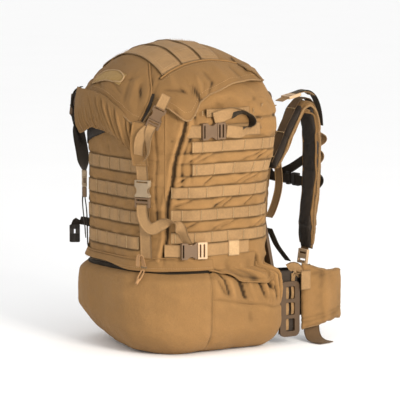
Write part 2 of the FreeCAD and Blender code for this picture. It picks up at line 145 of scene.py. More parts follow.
def polyline(points, step=4.0, rounds=3):
    """A path of straight runs with its corners cut round, resampled evenly."""
    p = np.array(points, float)
    for _ in range(rounds):
        q = np.empty((2 * len(p) - 2, p.shape[1]))
        q[0::2] = 0.75 * p[:-1] + 0.25 * p[1:]
        q[1::2] = 0.25 * p[:-1] + 0.75 * p[1:]
        q[0], q[-1] = p[0], p[-1]
        p = q
    run = run_of(p)
    return between(np.linspace(0, run[-1], max(2, int(round(run[-1] / step)) + 1)), run, p)


# ---- the bag's skin -----------------------------------------------------------------------------
def stations(plan):
    half, front, back, rf, rb = plan
    return np.r_[0, np.cumsum([half - rf, PI / 2 * rf, back - rb - front - rf, PI / 2 * rb, half - rb])]


MARKS = stations(MAIN)


def corner_lift(x, y):
    """The soft front left corner of the base stands a little off the ground."""
    return 40 * smooth(-SKEW[0] * x - SKEW[1] * y, 78, 200)


def round_s(s):
    """The way round the main outline brought into -HALF_ROUND..HALF_ROUND."""
    return (np.asarray(s, float) + HALF_ROUND) % (2 * HALF_ROUND) - HALF_ROUND


def bag_form(s, z):
    """Points on the bag without its folds. s is the way round the main outline from the front centre,
    positive to the right; z is the height."""
    s, z = np.broadcast_arrays(np.asarray(s, float), np.asarray(z, float))
    s = round_s(s)
    t = smooth(z, *CHANGE_Z)
    half, front, back, rf, rb = (a + (b - a) * t for a, b in zip(LOWER, MAIN))
    low = np.clip(BASE_ROUND - z, 0, BASE_ROUND)
    inset = BASE_ROUND - np.sqrt(BASE_ROUND ** 2 - low ** 2)
    half, front, back = half - inset, front + inset, back - inset
    rf, rb = rf - inset, np.maximum(rb - inset - 36 * smooth(z, 300, 440), 6)
    u = np.interp(np.abs(s), MARKS, range(6))
    seg = np.minimum(u.astype(int), 4)
    f = u - seg
    turn = f * PI / 2
    x = np.choose(seg, [(half - rf) * f, half - rf + rf * np.sin(turn), half,
                        half - rb + rb * np.cos(turn), (half - rb) * (1 - f)])
    y = np.choose(seg, [front, front + rf - rf * np.cos(turn), front + rf + (back - rb - front - rf) * f,
                        back - rb + rb * np.sin(turn), back])
    y = (y + BACK_Y - np.sqrt((y - BACK_Y) ** 2 + 25)) / 2
    reach = np.sqrt(np.maximum(MOUTH_REACH ** 2 - np.maximum(z - DOME_Z, 0) ** 2, 1))
    away = np.hypot(x, y - 8)
    pull = (away + reach - np.sqrt((away - reach) ** 2 + 36)) / 2 / np.maximum(away, 1)
    pull = 1 + (pull - 1) * smooth(z, 395, 500)
    x, y = x * pull, 8 + (y - 8) * pull
    x = x * np.sign(s + 1e-9)
    return np.stack([x, y, z + corner_lift(x, y) * (1 - smooth(z, 0, 160))], -1)


def in_rows(z, rows, width, edge=3.0):
    inside = 0
    for low in rows:
        inside = inside + window(z, low - edge, low, low + width, low + width + edge)
    return inside


def gusset_seam(s):
    """Height of the seam between the lower side panel and its gathered gusset."""
    return np.interp(np.abs(s), [246, 300, 350, 420, 500], [114, 97, 86, 88, 96])


def folds(p, s, z):
    """How far the filled fabric stands out from, or falls in under, the plain form."""
    a = np.abs(s)
    front = 1 - smooth(a, 140, 160)
    side = window(a, 158, 175, 455, 475)
    main = smooth(z, 176, 190)
    rows_f = in_rows(z, FRONT_ROWS, WEB)
    rows_s = in_rows(z, SIDE_ROWS, SIDE_ROW_W)
    under = np.where(a < 150, rows_f, rows_s)
    d = 2.2 * wobble(p, 150, 3) + (1 - 0.75 * under * main) * 0.9 * wobble(p, 42, 5)
    d = d + main * front * (1 - rows_f) * (1.6 + 0.8 * wobble(p, 30, 8))
    d = d + main * side * (1 - rows_s) * (3.0 + 1.4 * wobble(p, 34, 9))
    # the panels' vertical seams, and the deep fold beside the right one
    fold = np.interp(z, [190, 228, 251, 313, 373, 414, 472], [150, 153, 155, 160, 170, 181, 193])
    fold = fold + 2 * np.sin(z / 17)
    d = d - main * (6.5 * bump(a, fold, 3.6) - 3.2 * bump(a, fold - 9, 5) - 2.0 * bump(a, fold + 8, 4))
    d = d - main * 2.6 * bump(a, fold + 17 + 3 * np.sin(z / 23), 3) * smooth(z, 300, 330)
    d = d - main * 2.2 * bump(a, 134 + 2 * np.sin(z / 19), 3) * smooth(z, 240, 260)
    d = d - main * 1.8 * bump(a, 204, 3) * window(z, 340, 352, 455, 470)
    # slanting wrinkles in the slack fabric between the side rows
    slack = 0
    for k, low in enumerate(SIDE_ROWS[:-1]):
        middle = low + SIDE_ROW_W + 11
        for j in range(5):
            start = 178 + 50 * j + 21 * math.sin(5 * k + 2.4 * j)
            along = (a - start) / (44 + 14 * math.sin(j + 2 * k))
            line = middle - 10 + 20 * np.clip(along, 0, 1)
            ends = window(along, 0, 0.3, 0.7, 1)
            slack = slack + (bump(z, line, 3.0) - 0.6 * bump(z, line + 6, 3.6)) * ends
    d = d - main * side * 3.4 * slack * (1 - rows_s)
    for k, low in enumerate(FRONT_ROWS[:-1]):
        for j in range(3):
            along = (a - 46 - 26 * j - 6 * math.sin(7 * k + j)) / 34
            line = low + 30 + 14 * np.clip(along, 0, 1) + 3 * math.sin(4 * j + k)
            ends = window(along, 0, 0.3, 0.7, 1)
            d = d - main * front * 1.6 * bump(z, line, 2.4) * ends
    # over the rows: the drawn-in top of the side, then the padded collar band
    d = d - side * 9 * smooth(z, 464, 488) * bump(a, 236, 50)
    above = smooth(z, 190, 215)
    d = d - (1 - under * main) * (0.4 + 0.5 * above) * (crumple(p, 52, 116) + 0.6 * crumple(p, 33, 117))
    d = d - side * 2.5 * bump(z, 434, 4) - side * smooth(a, 300, 330) * 3 * bump(z, 470, 4)
    d = d + side * smooth(a, 330, 440) * 9 * smooth(z, 330, 430)
    # the pinch along the zip, and the lower compartment's belly
    d = d - 4 * bump(z, 174, 6) * (1 - smooth(a, 250, 300))
    belly = window(z, 8, 60, 120, 165)
    d = d + belly * (3.5 + 1.5 * wobble(p, 90, 12))
    d = d - 3.5 * bump(a, LOWER_SEAM_S, 3.2) * window(z, 4, 25, 168, 176)
    # gathers of the side gusset
    seam = gusset_seam(s)
    lower_side = window(a, 248, 256, 456, 484)
    gathers = lower_side * window(z, seam, seam + 16, 184, 192)
    for k in range(20):
        top = 248 + 11 * k + 4 * math.sin(3 * k)
        foot = top + 14 + 9 * math.sin(2 * k + 1)
        low = 98 + 12 * math.sin(5 * k + 2)
        deep = 3.6 + 2.2 * math.sin(2.3 * k)
        d = d + gathers * (line_fold(a, z, (top, 172), (foot, low), deep, 3.2)
                           - 0.7 * line_fold(a, z, (top + 5.5, 172), (foot + 6.5, low), deep, 3.8))
    d = d - lower_side * 2.8 * bump(z, seam, 3)
    for k in range(6):
        foot = (268 + 36 * k, seam - 34 - 7 * (k % 2))
        d = d + lower_side * line_fold(a, z, (272 + 34 * k, seam - 2), foot, 1.0, 6)
    # the gap behind the main side panel's hem: a deep fold, made dark by the panels' painted shade
    gap = [(356, 190), (365, 170), (357, 152), (336, 136), (352, 124)]
    for p0, p1 in zip(gap, gap[1:]):
        d = d + line_fold(a, z, p0, p1, 17, 5.5)
    d = d - 2.2 * bump(a, BACK_SEAM_S, 4) * main
    return d


def bag(s, z, lift=0.0, soft=1.0):
    """Points on the folded skin, lift millimetres off it, and how far its folds stand out there; soft is
    the share of the folds to follow."""
    s, z = np.broadcast_arrays(np.asarray(s, float), np.asarray(z, float))
    p = bag_form(s, z)
    e = 0.5
    n = unit(np.cross(bag_form(s + e, z) - bag_form(s - e, z), bag_form(s, z + e) - bag_form(s, z - e)))
    d = folds(p, round_s(s), z)
    q = p + n * (lift + soft * d)[..., None]
    q[..., 2] = np.maximum(q[..., 2], 0.3)      # it stands on the ground
    return q, d


def skin(s, z, lift=0.0, soft=1.0):
    return bag(s, z, lift, soft)[0]


def corner(outline, angle, lift=0.0):
    """On an outline's front right corner, angle radians round it: the directions outwards and along it,
    and the point that is lift off it."""
    half, front, _, radius, _ = outline
    out = np.array([math.sin(angle), -math.cos(angle), 0])
    along = np.array([math.cos(angle), math.sin(angle), 0])
    return out, along, np.array([half - radius, front + radius, 0]) + out * (radius + lift)


# ---- mesh helpers -------------------------------------------------------------------------------
def finish_mesh(name, verts, faces, materials, body="pack", cad=(), slot=None, uvs=None, shade=None,
                indices=None):
    """A piece of the model riding on a body and standing for CAD nodes; its slot is not used."""
    mesh = bpy.data.meshes.new(name)
    mesh.from_pydata([tuple(v) for v in np.asarray(verts) * MM], [], faces)
    layer = mesh.uv_layers.new(name="UVMap")
    if uvs is not None:
        loops = np.zeros(len(mesh.loops), np.int32)
        mesh.loops.foreach_get("vertex_index", loops)
        layer.data.foreach_set("uv", np.asarray(uvs, np.float32)[loops].ravel())
    if shade is not None:
        tone = mesh.attributes.new("shade", "FLOAT", "POINT")
        tone.data.foreach_set("value", np.asarray(shade, np.float32).ravel())
    for m in materials:
        mesh.materials.append(m)
    if indices is not None:
        mesh.polygons.foreach_set("material_index", np.asarray(indices, np.int32))
    mesh.polygons.foreach_set("use_smooth", np.ones(len(mesh.polygons), bool))
    mesh.update()
    obj = bpy.data.objects.new(name, mesh)
    bpy.context.scene.collection.objects.link(obj)
    if body:
        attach(obj, body)
    if cad:
        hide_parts(*([cad] if isinstance(cad, str) else cad))
    return obj


def slab(name, p, thick, material, body="pack", cad=(), shade=None, slot=None, closed=False, centred=False):
    """A sheet of fabric or webbing: p is a grid of points (n, m, 3) on its outer face."""
    n, m = p.shape[:2]
    normal = grid_normals(np.concatenate([p[-2:-1], p, p[1:2]]))[1:-1] if closed else grid_normals(p)
    shift = thick / 2 if centred else 0
    outer, inner = p + normal * shift, p - normal * (thick - shift)
    i, j = np.meshgrid(np.arange(n - 1), np.arange(m - 1), indexing="ij")
    a = (i * m + j).ravel()
    top = np.stack([a, a + m, a + m + 1, a + 1], 1)
    k = n * m
    faces = np.concatenate([top, top[:, ::-1] + k]).tolist()
    for edge, way in ((np.arange(m), 1), (np.arange(m) + (n - 1) * m, -1), (np.arange(n) * m, -1),
                      (np.arange(n) * m + m - 1, 1)):
        faces += [[q, q + k, w + k, w][::way] for q, w in zip(edge[:-1], edge[1:])]
    run = run_of(p[:, m // 2]) * MM
    uv = np.stack(np.meshgrid(run, np.linspace(0, 1, m), indexing="ij"), -1).reshape(-1, 2)
    tone = None if shade is None else np.tile(np.asarray(shade, float).ravel(), 2)
    return finish_mesh(name, np.concatenate([outer.reshape(-1, 3), inner.reshape(-1, 3)]), faces, [material],
                       body, cad, slot, np.tile(uv, (2, 1)), tone)


def strap(name, path, across, width, material, body="pack", cad=(), thick=WEB_T, rounds=3, slot=None):
    """Webbing along a path, its width along the direction across (or several, spread over the path)."""
    line = polyline(path, 4.0, rounds)
    along = unit(np.gradient(line, axis=0))
    side = np.atleast_2d(np.array(across, float))
    side = between(np.linspace(0, 1, len(line)), np.linspace(0, 1, len(side)), side)
    side = unit(side - along * (side * along).sum(1, keepdims=True))
    p = line[:, None] + side[:, None] * (np.linspace(-0.5, 0.5, 7) * width)[None, :, None]
    return slab(name, p, thick, material, body, cad, slot=slot, centred=True)


def ring_faces(n, m):
    """The walls between n rings of m points."""
    return [[i * m + j, i * m + (j + 1) % m, (i + 1) * m + (j + 1) % m, (i + 1) * m + j]
            for i in range(n - 1) for j in range(m)]


def tube_parts(line, radius, sides=8):
    """Vertices and faces of a capped tube along a line of points."""
    along = unit(np.gradient(line, axis=0))
    n = unit(np.cross(along[0], UP if abs(along[0][2]) < 0.9 else (1.0, 0.0, 0.0)))
    w = 2 * PI * np.arange(sides)[:, None] / sides
    verts = []
    for q, d in zip(line, along):
        n = unit(n - d * (n @ d))
        verts += list(q + radius * (np.cos(w) * n + np.sin(w) * np.cross(d, n)))
    last = (len(line) - 1) * sides
    faces = ring_faces(len(line), sides) + [list(range(sides))[::-1], [last + k for k in range(sides)]]
    return verts, faces


def merged(parts):
    """Several (vertices, faces) as one."""
    verts, faces = [], []
    for v, f in parts:
        faces += [[i + len(verts) for i in q] for q in f]
        verts += v
    return verts, faces


def tube(name, points, radius, material, body="pack", cad=(), sides=8, rounds=0, slot=None):
    verts, faces = tube_parts(polyline(points, 4.0, rounds), radius, sides)
    return finish_mesh(name, verts, faces, [material], body, cad, slot)


thread = {}     # body: list of (centre, along, normal, length, thickness) of stitches


def stitch_line(points, normals, body="lid", pitch=5.0, length=3.4, thick=0.55):
    """A row of stitches along points that lie on the fabric."""
    run = run_of(points)
    for at in np.arange(pitch / 2, run[-1], pitch):
        way = between(at + 1, run, points) - between(at - 1, run, points)
        thread.setdefault(body, []).append(
            (between(at, run, points), way, between(at, run, normals), length, thick))


def tack(a, b, normal, body="pack", width=2.4):
    """A bar tack: close zigzag stitches between two points."""
    d = b - a
    count = max(3, int(np.linalg.norm(d) / 1.6))
    for k in range(count + 1):
        lean = unit(np.cross(normal, d)) + 0.35 * (1 if k % 2 else -1) * unit(d)
        thread.setdefault(body, []).append((a + d * k / count, lean, normal, 1.4 * width, 1.3))


def sew(material):
    """Builds each body's stitches as one mesh of small lozenges."""
    for body, items in thread.items():
        verts, faces = [], []
        for c, d, n, length, thick in items:
            d, n = unit(d), unit(n)
            b = np.cross(n, d)
            k = len(verts)
            verts += [c - d * length / 2, c + d * length / 2, c + b * thick * 0.7, c - b * thick * 0.7,
                      c + n * thick, c - n * thick * 0.5]
            faces += [[k, k + 2, k + 4], [k + 2, k + 1, k + 4], [k + 1, k + 3, k + 4], [k + 3, k, k + 4],
                      [k + 2, k, k + 5], [k + 1, k + 2, k + 5], [k + 3, k + 1, k + 5], [k, k + 3, k + 5]]
        finish_mesh(f"stitching_{body}", verts, faces, [material], body)


def surface_line(path, lift, soft):
    """Points and normals along a path of (s, z) on the bag."""
    q = polyline(path, 3.0, 1)
    p = skin(q[:, 0], q[:, 1], lift, soft)
    return p, skin(q[:, 0], q[:, 1], lift + 1, soft) - p


def new_material(name):
    mat = bpy.data.materials.new(name)
    mat.use_nodes = True
    tree = mat.node_tree
    return mat, tree, tree.nodes["Principled BSDF"]


def node(tree, kind, **inputs):
    made_node = tree.nodes.new(kind)
    for key, value in inputs.items():
        if hasattr(made_node, key):
            setattr(made_node, key, value)
        else:
            made_node.inputs[key.replace("_", " ")].default_value = value
    return made_node


def math_node(tree, op, a, b=0.0):
    n = tree.nodes.new("ShaderNodeMath")
    n.operation = op
    for k, v in enumerate((a, b)):
        if isinstance(v, (int, float)):
            n.inputs[k].default_value = v
        else:
            tree.links.new(v, n.inputs[k])
    return n.outputs[0]


def blend_colour(tree, factor, a, b, mode="MIX"):
    n = tree.nodes.new("ShaderNodeMix")
    n.data_type = "RGBA"
    n.blend_type = mode
    sockets = (n.inputs[0], n.inputs[6], n.inputs[7])
    for socket, v in zip(sockets, (factor, a, b)):
        if isinstance(v, (int, float, tuple)):
            socket.default_value = v if not isinstance(v, tuple) or len(v) == 4 else (*v, 1)
        else:
            tree.links.new(v, socket)
    return n.outputs[2]


def tone(rgb, k):
    return tuple(min(1.0, c * k) for c in rgb)


def tint(tree, colour, factor, amount, other):
    """Lays another colour over one, by a factor times an amount."""
    return blend_colour(tree, math_node(tree, "MULTIPLY", factor, amount), colour, other)


def summed(tree, first, *others):
    """A value plus others, each given as (value, share)."""
    for value, share in others:
        first = math_node(tree, "ADD", first, math_node(tree, "MULTIPLY", value, share))
    return first


def noise_out(tree, coords, scale, detail=3.0, rough=0.55):
    n = node(tree, "ShaderNodeTexNoise", Scale=scale, Detail=detail, Roughness=rough)
    tree.links.new(coords, n.inputs["Vector"])
    return n.outputs["Fac"]


def spread(tree, value, low, high):
    n = node(tree, "ShaderNodeMapRange")
    n.inputs["From Min"].default_value, n.inputs["From Max"].default_value = low, high
    tree.links.new(value, n.inputs["Value"])
    return n.outputs["Result"]


def mottle(tree, coords, scale, detail=3.0, rough=0.55, low=0.3, high=0.7):
    return spread(tree, noise_out(tree, coords, scale, detail, rough), low, high)


def object_coords(tree):
    return node(tree, "ShaderNodeTexCoord").outputs["Object"]


def finish_bsdf(tree, bsdf, colour, height, distance, rough, rough_source, specular=0.5, sheen=0.0):
    tree.links.new(colour, bsdf.inputs["Base Color"])
    b = node(tree, "ShaderNodeBump", Strength=0.7, Distance=distance)
    tree.links.new(height, b.inputs["Height"])
    tree.links.new(b.outputs["Normal"], bsdf.inputs["Normal"])
    r = node(tree, "ShaderNodeMapRange")
    r.inputs["To Min"].default_value, r.inputs["To Max"].default_value = rough
    tree.links.new(rough_source, r.inputs["Value"])
    tree.links.new(r.outputs["Result"], bsdf.inputs["Roughness"])
    bsdf.inputs["Specular IOR Level"].default_value = specular
    if sheen:
        bsdf.inputs["Sheen Weight"].default_value = sheen
        bsdf.inputs["Sheen Tint"].default_value = (1.0, 0.72, 0.42, 1)


def fabric(name, rgb, pitch=1.3, worn=0.35, sheen=0.1):
    """Woven nylon: mottled colour, threads, dusty wear on ridges and painted shade in folds."""
    mat, tree, bsdf = new_material(name)
    obj = object_coords(tree)
    streak = mottle(tree, obj, 38, 5, 0.65, 0.28, 0.75)
    fine = noise_out(tree, obj, 420, 2)
    threads = None
    for way in ("X", "Y", "Z"):
        w = node(tree, "ShaderNodeTexWave", Scale=0.314 / (pitch * MM), Distortion=0.6, Detail=1.0)
        w.wave_type, w.bands_direction = "BANDS", way
        tree.links.new(obj, w.inputs["Vector"])
        band = w.outputs["Fac"]
        threads = band if threads is None else math_node(tree, "ADD", threads, band)
    colour = blend_colour(tree, mottle(tree, obj, 7), tone(rgb, 0.86), tone(rgb, 1.1))
    colour = tint(tree, colour, streak, 0.35, tone(rgb, 1.3))
    colour = tint(tree, colour, spread(tree, fine, 0.35, 0.65), 0.22, tone(rgb, 0.62))
    shade = node(tree, "ShaderNodeAttribute", attribute_name="shade").outputs["Fac"]
    # painted shade: where the 'shade' attribute marks grooves and folds, the colour darkens towards a tenth
    colour = tint(tree, colour, spread(tree, shade, -0.05, -0.9), 0.93, tone(rgb, 0.1))
    colour = tint(tree, colour, spread(tree, shade, 0.0, 1.0), worn, tone(rgb, 1.8))
    height = math_node(tree, "ADD", math_node(tree, "MULTIPLY", threads, 0.3), fine)
    height = summed(tree, height, (noise_out(tree, obj, 120, 3), 1.2))
    finish_bsdf(tree, bsdf, colour, height, 0.0009, (0.72, 0.95), streak, 0.15, sheen)
    bsdf.inputs["Sheen Roughness"].default_value = 0.45
    return mat


def webbing(name, rgb, rib=2.3):
    """Ribbed nylon webbing: ribs across it with painted shade in their grooves, darker selvedges, faded
    patches.
    """
    mat, tree, bsdf = new_material(name)
    coords = node(tree, "ShaderNodeTexCoord")
    split = node(tree, "ShaderNodeSeparateXYZ")
    tree.links.new(coords.outputs["UV"], split.inputs[0])
    along, across = split.outputs[0], split.outputs[1]
    ribs = math_node(tree, "SINE", math_node(tree, "MULTIPLY", along, 2 * PI / (rib * MM)))
    chain = math_node(tree, "SINE", summed(tree, math_node(tree, "MULTIPLY", across, 38.0),
                                           (along, PI / (rib * MM))))
    from_middle = math_node(tree, "ABSOLUTE", math_node(tree, "SUBTRACT", across, 0.5))
    fine = noise_out(tree, coords.outputs["Object"], 260, 3)
    colour = blend_colour(tree, mottle(tree, coords.outputs["Object"], 16), tone(rgb, 0.82), tone(rgb, 1.15))
    # painted shade in the ribs' grooves
    colour = tint(tree, colour, spread(tree, ribs, 0.2, -1.0), 0.35, tone(rgb, 0.5))
    colour = tint(tree, colour, spread(tree, fine, 0.4, 0.7), 0.3, tone(rgb, 1.45))
    colour = tint(tree, colour, spread(tree, from_middle, 0.42, 0.47), 0.45, tone(rgb, 0.45))
    height = math_node(tree, "ADD", math_node(tree, "MULTIPLY", ribs, 0.5), fine)
    finish_bsdf(tree, bsdf, colour, summed(tree, height, (chain, 0.35)), 0.0006, (0.6, 0.85), fine, 0.2, 0.06)
    return mat


def plastic(name, rgb, rough=(0.42, 0.62), grain=900):
    """Moulded acetal with fine grain, scuffs and dust."""
    mat, tree, bsdf = new_material(name)
    obj = object_coords(tree)
    scuff = mottle(tree, obj, 90, 6, 0.7, 0.35, 0.75)
    colour = blend_colour(tree, mottle(tree, obj, 22), tone(rgb, 0.88), tone(rgb, 1.08))
    colour = tint(tree, colour, scuff, 0.3, tone(rgb, 1.4))
    height = summed(tree, noise_out(tree, obj, grain, 2), (scuff, 0.6))
    finish_bsdf(tree, bsdf, colour, height, 0.00025, rough, scuff, 0.32)
    return mat


def spacer_mesh(name, rgb):
    """Knitted spacer mesh: small dark holes in rows."""
    mat, tree, bsdf = new_material(name)
    obj = object_coords(tree)
    cells = node(tree, "ShaderNodeTexVoronoi", Scale=330.0, Randomness=0.25)
    tree.links.new(obj, cells.inputs["Vector"])
    big = mottle(tree, obj, 14)
    colour = blend_colour(tree, big, tone(rgb, 0.8), tone(rgb, 1.35))
    colour = tint(tree, colour, spread(tree, cells.outputs["Distance"], 0.5, 0.15), 0.7, tone(rgb, 0.3))
    finish_bsdf(tree, bsdf, colour, cells.outputs["Distance"], 0.0012, (0.7, 0.95), big)
    return mat


COYOTE = (0.225, 0.121, 0.044)
cordura = fabric("coyote_cordura", COYOTE)
# the lid's cloth is the bag's cordura painted darker: painted shade on the lid
lid_shaded_cordura = fabric("lid_shaded_cordura", tone(COYOTE, 0.84))
# the pads' cloth is the bag's cordura painted darker: painted shade between pads and bag
pad_shaded_cordura = fabric("pad_shaded_cordura", tone(COYOTE, 0.78))
lining = fabric("coyote_lining", tone(COYOTE, 0.45), worn=0.1)
tape = webbing("coyote_webbing", (0.270, 0.158, 0.068))
pale_tape = webbing("pale_webbing", (0.42, 0.27, 0.135))
dark_tape = webbing("dark_coyote_webbing", (0.115, 0.066, 0.030))
black_tape = webbing("black_webbing", (0.020, 0.014, 0.009))
black_mesh = spacer_mesh("black_spacer_mesh", (0.021, 0.013, 0.007))
acetal = plastic("buckle_plastic", (0.108, 0.062, 0.030))
worn_acetal = plastic("worn_buckle_plastic", (0.225, 0.165, 0.102))
pale_acetal = plastic("pale_buckle_plastic", (0.43, 0.29, 0.17))
dark_acetal = plastic("dark_buckle_plastic", (0.032, 0.025, 0.018))
frame_plastic = plastic("frame_plastic", (0.066, 0.038, 0.018), (0.5, 0.7), 500)
zip_black = plastic("zip_coil", (0.012, 0.011, 0.010), (0.35, 0.6), 1400)
brass = plastic("worn_slider_metal", (0.16, 0.11, 0.06), (0.3, 0.5), 1200)
brass.node_tree.nodes["Principled BSDF"].inputs["Metallic"].default_value = 0.7
cord_mat = fabric("pull_cord", (0.36, 0.20, 0.09), pitch=0.9)
loop_mat = fabric("loop_fabric", (0.27, 0.165, 0.055), 1.0, 0.2, 0.3)
thread_mat = fabric("thread", (0.46, 0.31, 0.16), pitch=0.5, worn=0.1)


# ---- bag panels ---------------------------------------------------------------------------------
def top_z(s):
    s = np.abs(round_s(s))
    return 511 + 35 * smooth(s, 185, 300) - 19 * smooth(s, 440, 500)


def shade_of(d):
    """Painted shade in grooves and wear on ridges: how far a point of the grid lies off its surroundings."""
    reach, mean = 6, d
    for axis in (0, 1):
        count = mean.shape[axis]
        wide = np.pad(mean, [(reach, reach) if k == axis else (0, 0) for k in (0, 1)], mode="edge")
        mean = sum(np.take(wide, range(k, k + count), axis) for k in range(2 * reach + 1)) / (2 * reach + 1)
    off = d - mean
    off = np.sign(off) * np.maximum(np.abs(off) - 0.45, 0)
    return np.clip(off / 3.6 - np.maximum(-off - 1.6, 0) / 2.2, -1, 1)


def row_edge_shadows(s, z):
    """Painted shadow lines along the webbing rows' edges."""
    a = np.abs(round_s(s))
    total = 0
    for rows, width, near in ((FRONT_ROWS, WEB, a < 98), (SIDE_ROWS, SIDE_ROW_W, (a > 163) & (a < 422))):
        for low in rows:
            total = total - near * (bump(z, low - 2.2, 2.4) + 0.6 * bump(z, low + width + 2, 2.2))
    return total


def panel(name, cad, s0, s1, low, high):
    """A panel of the bag between two places round it and two heights (numbers or functions of s)."""
    step = 2.5
    s = np.linspace(s0, s1, int((s1 - s0) / step) + 2)
    z0, z1 = [np.array([z(v) if callable(z) else z for v in s]) for z in (low, high)]
    t = np.linspace(0, 1, int(np.max(z1 - z0) / step) + 2)
    if low == 0:        # closer together where the panel rounds under
        t = 0.45 * t ** 2 + 0.55 * t
    z = z0[:, None] + (z1 - z0)[:, None] * t[None]
    p, d = bag(s[:, None], z)
    # painted shade in the folds' grooves, and painted shadow along the rows' edges
    shade = np.clip(shade_of(d) + 0.75 * row_edge_shadows(s[:, None], z), -1, 1)
    slab(name, p, CLOTH_T, cordura, "pack", cad, shade)


def bag_panels():
    panel("main_front_panel_cloth", "main_front_panel", -SEAM_S, SEAM_S, SEAM_Z, top_z)
    for sign, side in SIDES:
        ends = sorted((sign * SEAM_S, sign * BACK_SEAM_S))
        panel(f"main_side_panel_cloth_{side}", f"main_side_panel_{side}", *ends, SEAM_Z, top_z)
    panel("lower_front_panel_cloth", "lower_front_panel", -LOWER_SEAM_S, LOWER_SEAM_S, 0, SEAM_Z)
    for name, low, high in (("lower_side_panel", 0, gusset_seam), ("side_gusset", gusset_seam, SEAM_Z)):
        for sign, side in SIDES:
            ends = sorted((sign * LOWER_SEAM_S, sign * LOW_BACK_S))
            panel(f"{name}_cloth_{side}", f"{name}_{side}", *ends, low, high)


def back_panel():
    t = np.linspace(0, 1, 44)
    z = np.r_[BASE_ROUND * (1 - np.cos(np.linspace(0, PI / 2, 12))), np.linspace(59, 529, 110)]
    edge = BACK_SEAM_S + (LOW_BACK_S - BACK_SEAM_S) * (1 - smooth(z, *CHANGE_Z))
    p, d = bag(edge[None] + (2 * HALF_ROUND - 2 * edge)[None] * t[:, None], z[None])
    # painted shade in the folds' grooves
    slab("back_panel_cloth", p, CLOTH_T, cordura, "pack", "back_panel", shade_of(d))


def base_panel():
    rim = skin(np.linspace(-HALF_ROUND, HALF_ROUND, 181), 0)
    p = rim[:, None] * np.linspace(0.02, 1, 26)[None, :, None]
    p[..., 2] = corner_lift(p[..., 0], p[..., 1]) + CLOTH_T + 0.3 * (wobble(p, 60, 21) + 1.2)
    slab("base_panel_cloth", p[::-1], CLOTH_T, cordura, "pack", "base_panel")


def inner_sheets():
    """The divider between the compartments and the gathered storm collar inside the mouth."""
    y = np.linspace(-118, 136, 50)
    ring = bag_form(np.linspace(0, HALF_ROUND, 700), 300)
    order = np.argsort(ring[:, 1])
    half = np.interp(y, ring[order, 1], ring[order, 0]) - 8
    x = half[:, None] * np.linspace(-1, 1, 40)[None]
    p = np.stack([x, y[:, None] + 0 * x, 166 + 0 * x], -1)
    p[..., 2] += 1.5 * wobble(p, 80, 31)
    slab("divider_cloth", p[::-1], 1.6, lining, "pack", "compartment_divider")
    s = np.linspace(-HALF_ROUND, HALF_ROUND, 421)[:, None]
    z = np.linspace(436, 496, 22)[None]
    q = bag_form(s, z)
    t = (z - 440) / 48
    pucker = 3.0 * smooth(t, 0.1, 1) * np.sin(s / 7.5 + 1.5 * np.sin(s / 41))
    q = q - unit(q * (1, 1, 0)) * (9 + 9 * smooth(t, 0, 1) - pucker)[..., None]
    slab("storm_collar_cloth", q, 1.0, lining, "pack", "storm_collar", closed=True)
    tube("storm_collar_hem", q[::2, -1] + UP, 2.2, lining)


bag_panels()
back_panel()
base_panel()
inner_sheets()


# ---- webbing rows -------------------------------------------------------------------------------
def row(name, cad, s0, s1, low, width, first):
    """One load-bearing row: tacked down every 38.1 mm, standing a little proud between the tacks."""
    s = np.linspace(s0, s1, int((s1 - s0) / 3.2) + 2)
    proud = 1.9 * np.sin(PI * ((s - first) / TACK % 1)) ** 2
    proud[(s < first)] *= 0.4
    p = skin(s[:, None], (low + width * np.linspace(0, 1, 8))[None], 2.1 + proud[:, None], 0.6)
    slab(name, p, 1.5, tape, "pack", cad)
    for at in [first + TACK * k for k in range(int((s1 - first) / TACK) + 1)] + [s0 + 2, s1 - 2]:
        z = np.array([low + 1.5, low + width - 1.5])
        ends, off = skin(at, z, 2.4, 0.6), skin(at, z, 3.4, 0.6)
        tack(ends[0], ends[1], off[0] - ends[0], "pack", 2.8)


def webbing_rows():
    for i, low in enumerate(FRONT_ROWS):
        row(f"front_row_{i + 1}", "webbing_rows_front", -97.0, 97.0, low, WEB, -97 + 7 + 11 * (i % 2))
    for sign, side in SIDES:
        for i, low in enumerate(SIDE_ROWS):
            a, b = sorted((sign * (164.0 if i < 3 else 206.0), sign * 420.0))
            row(f"side_row_{side}_{i + 1}", f"webbing_rows_{side}", a, b, low, SIDE_ROW_W,
                a + 9 + 13 * (i % 3))


webbing_rows()


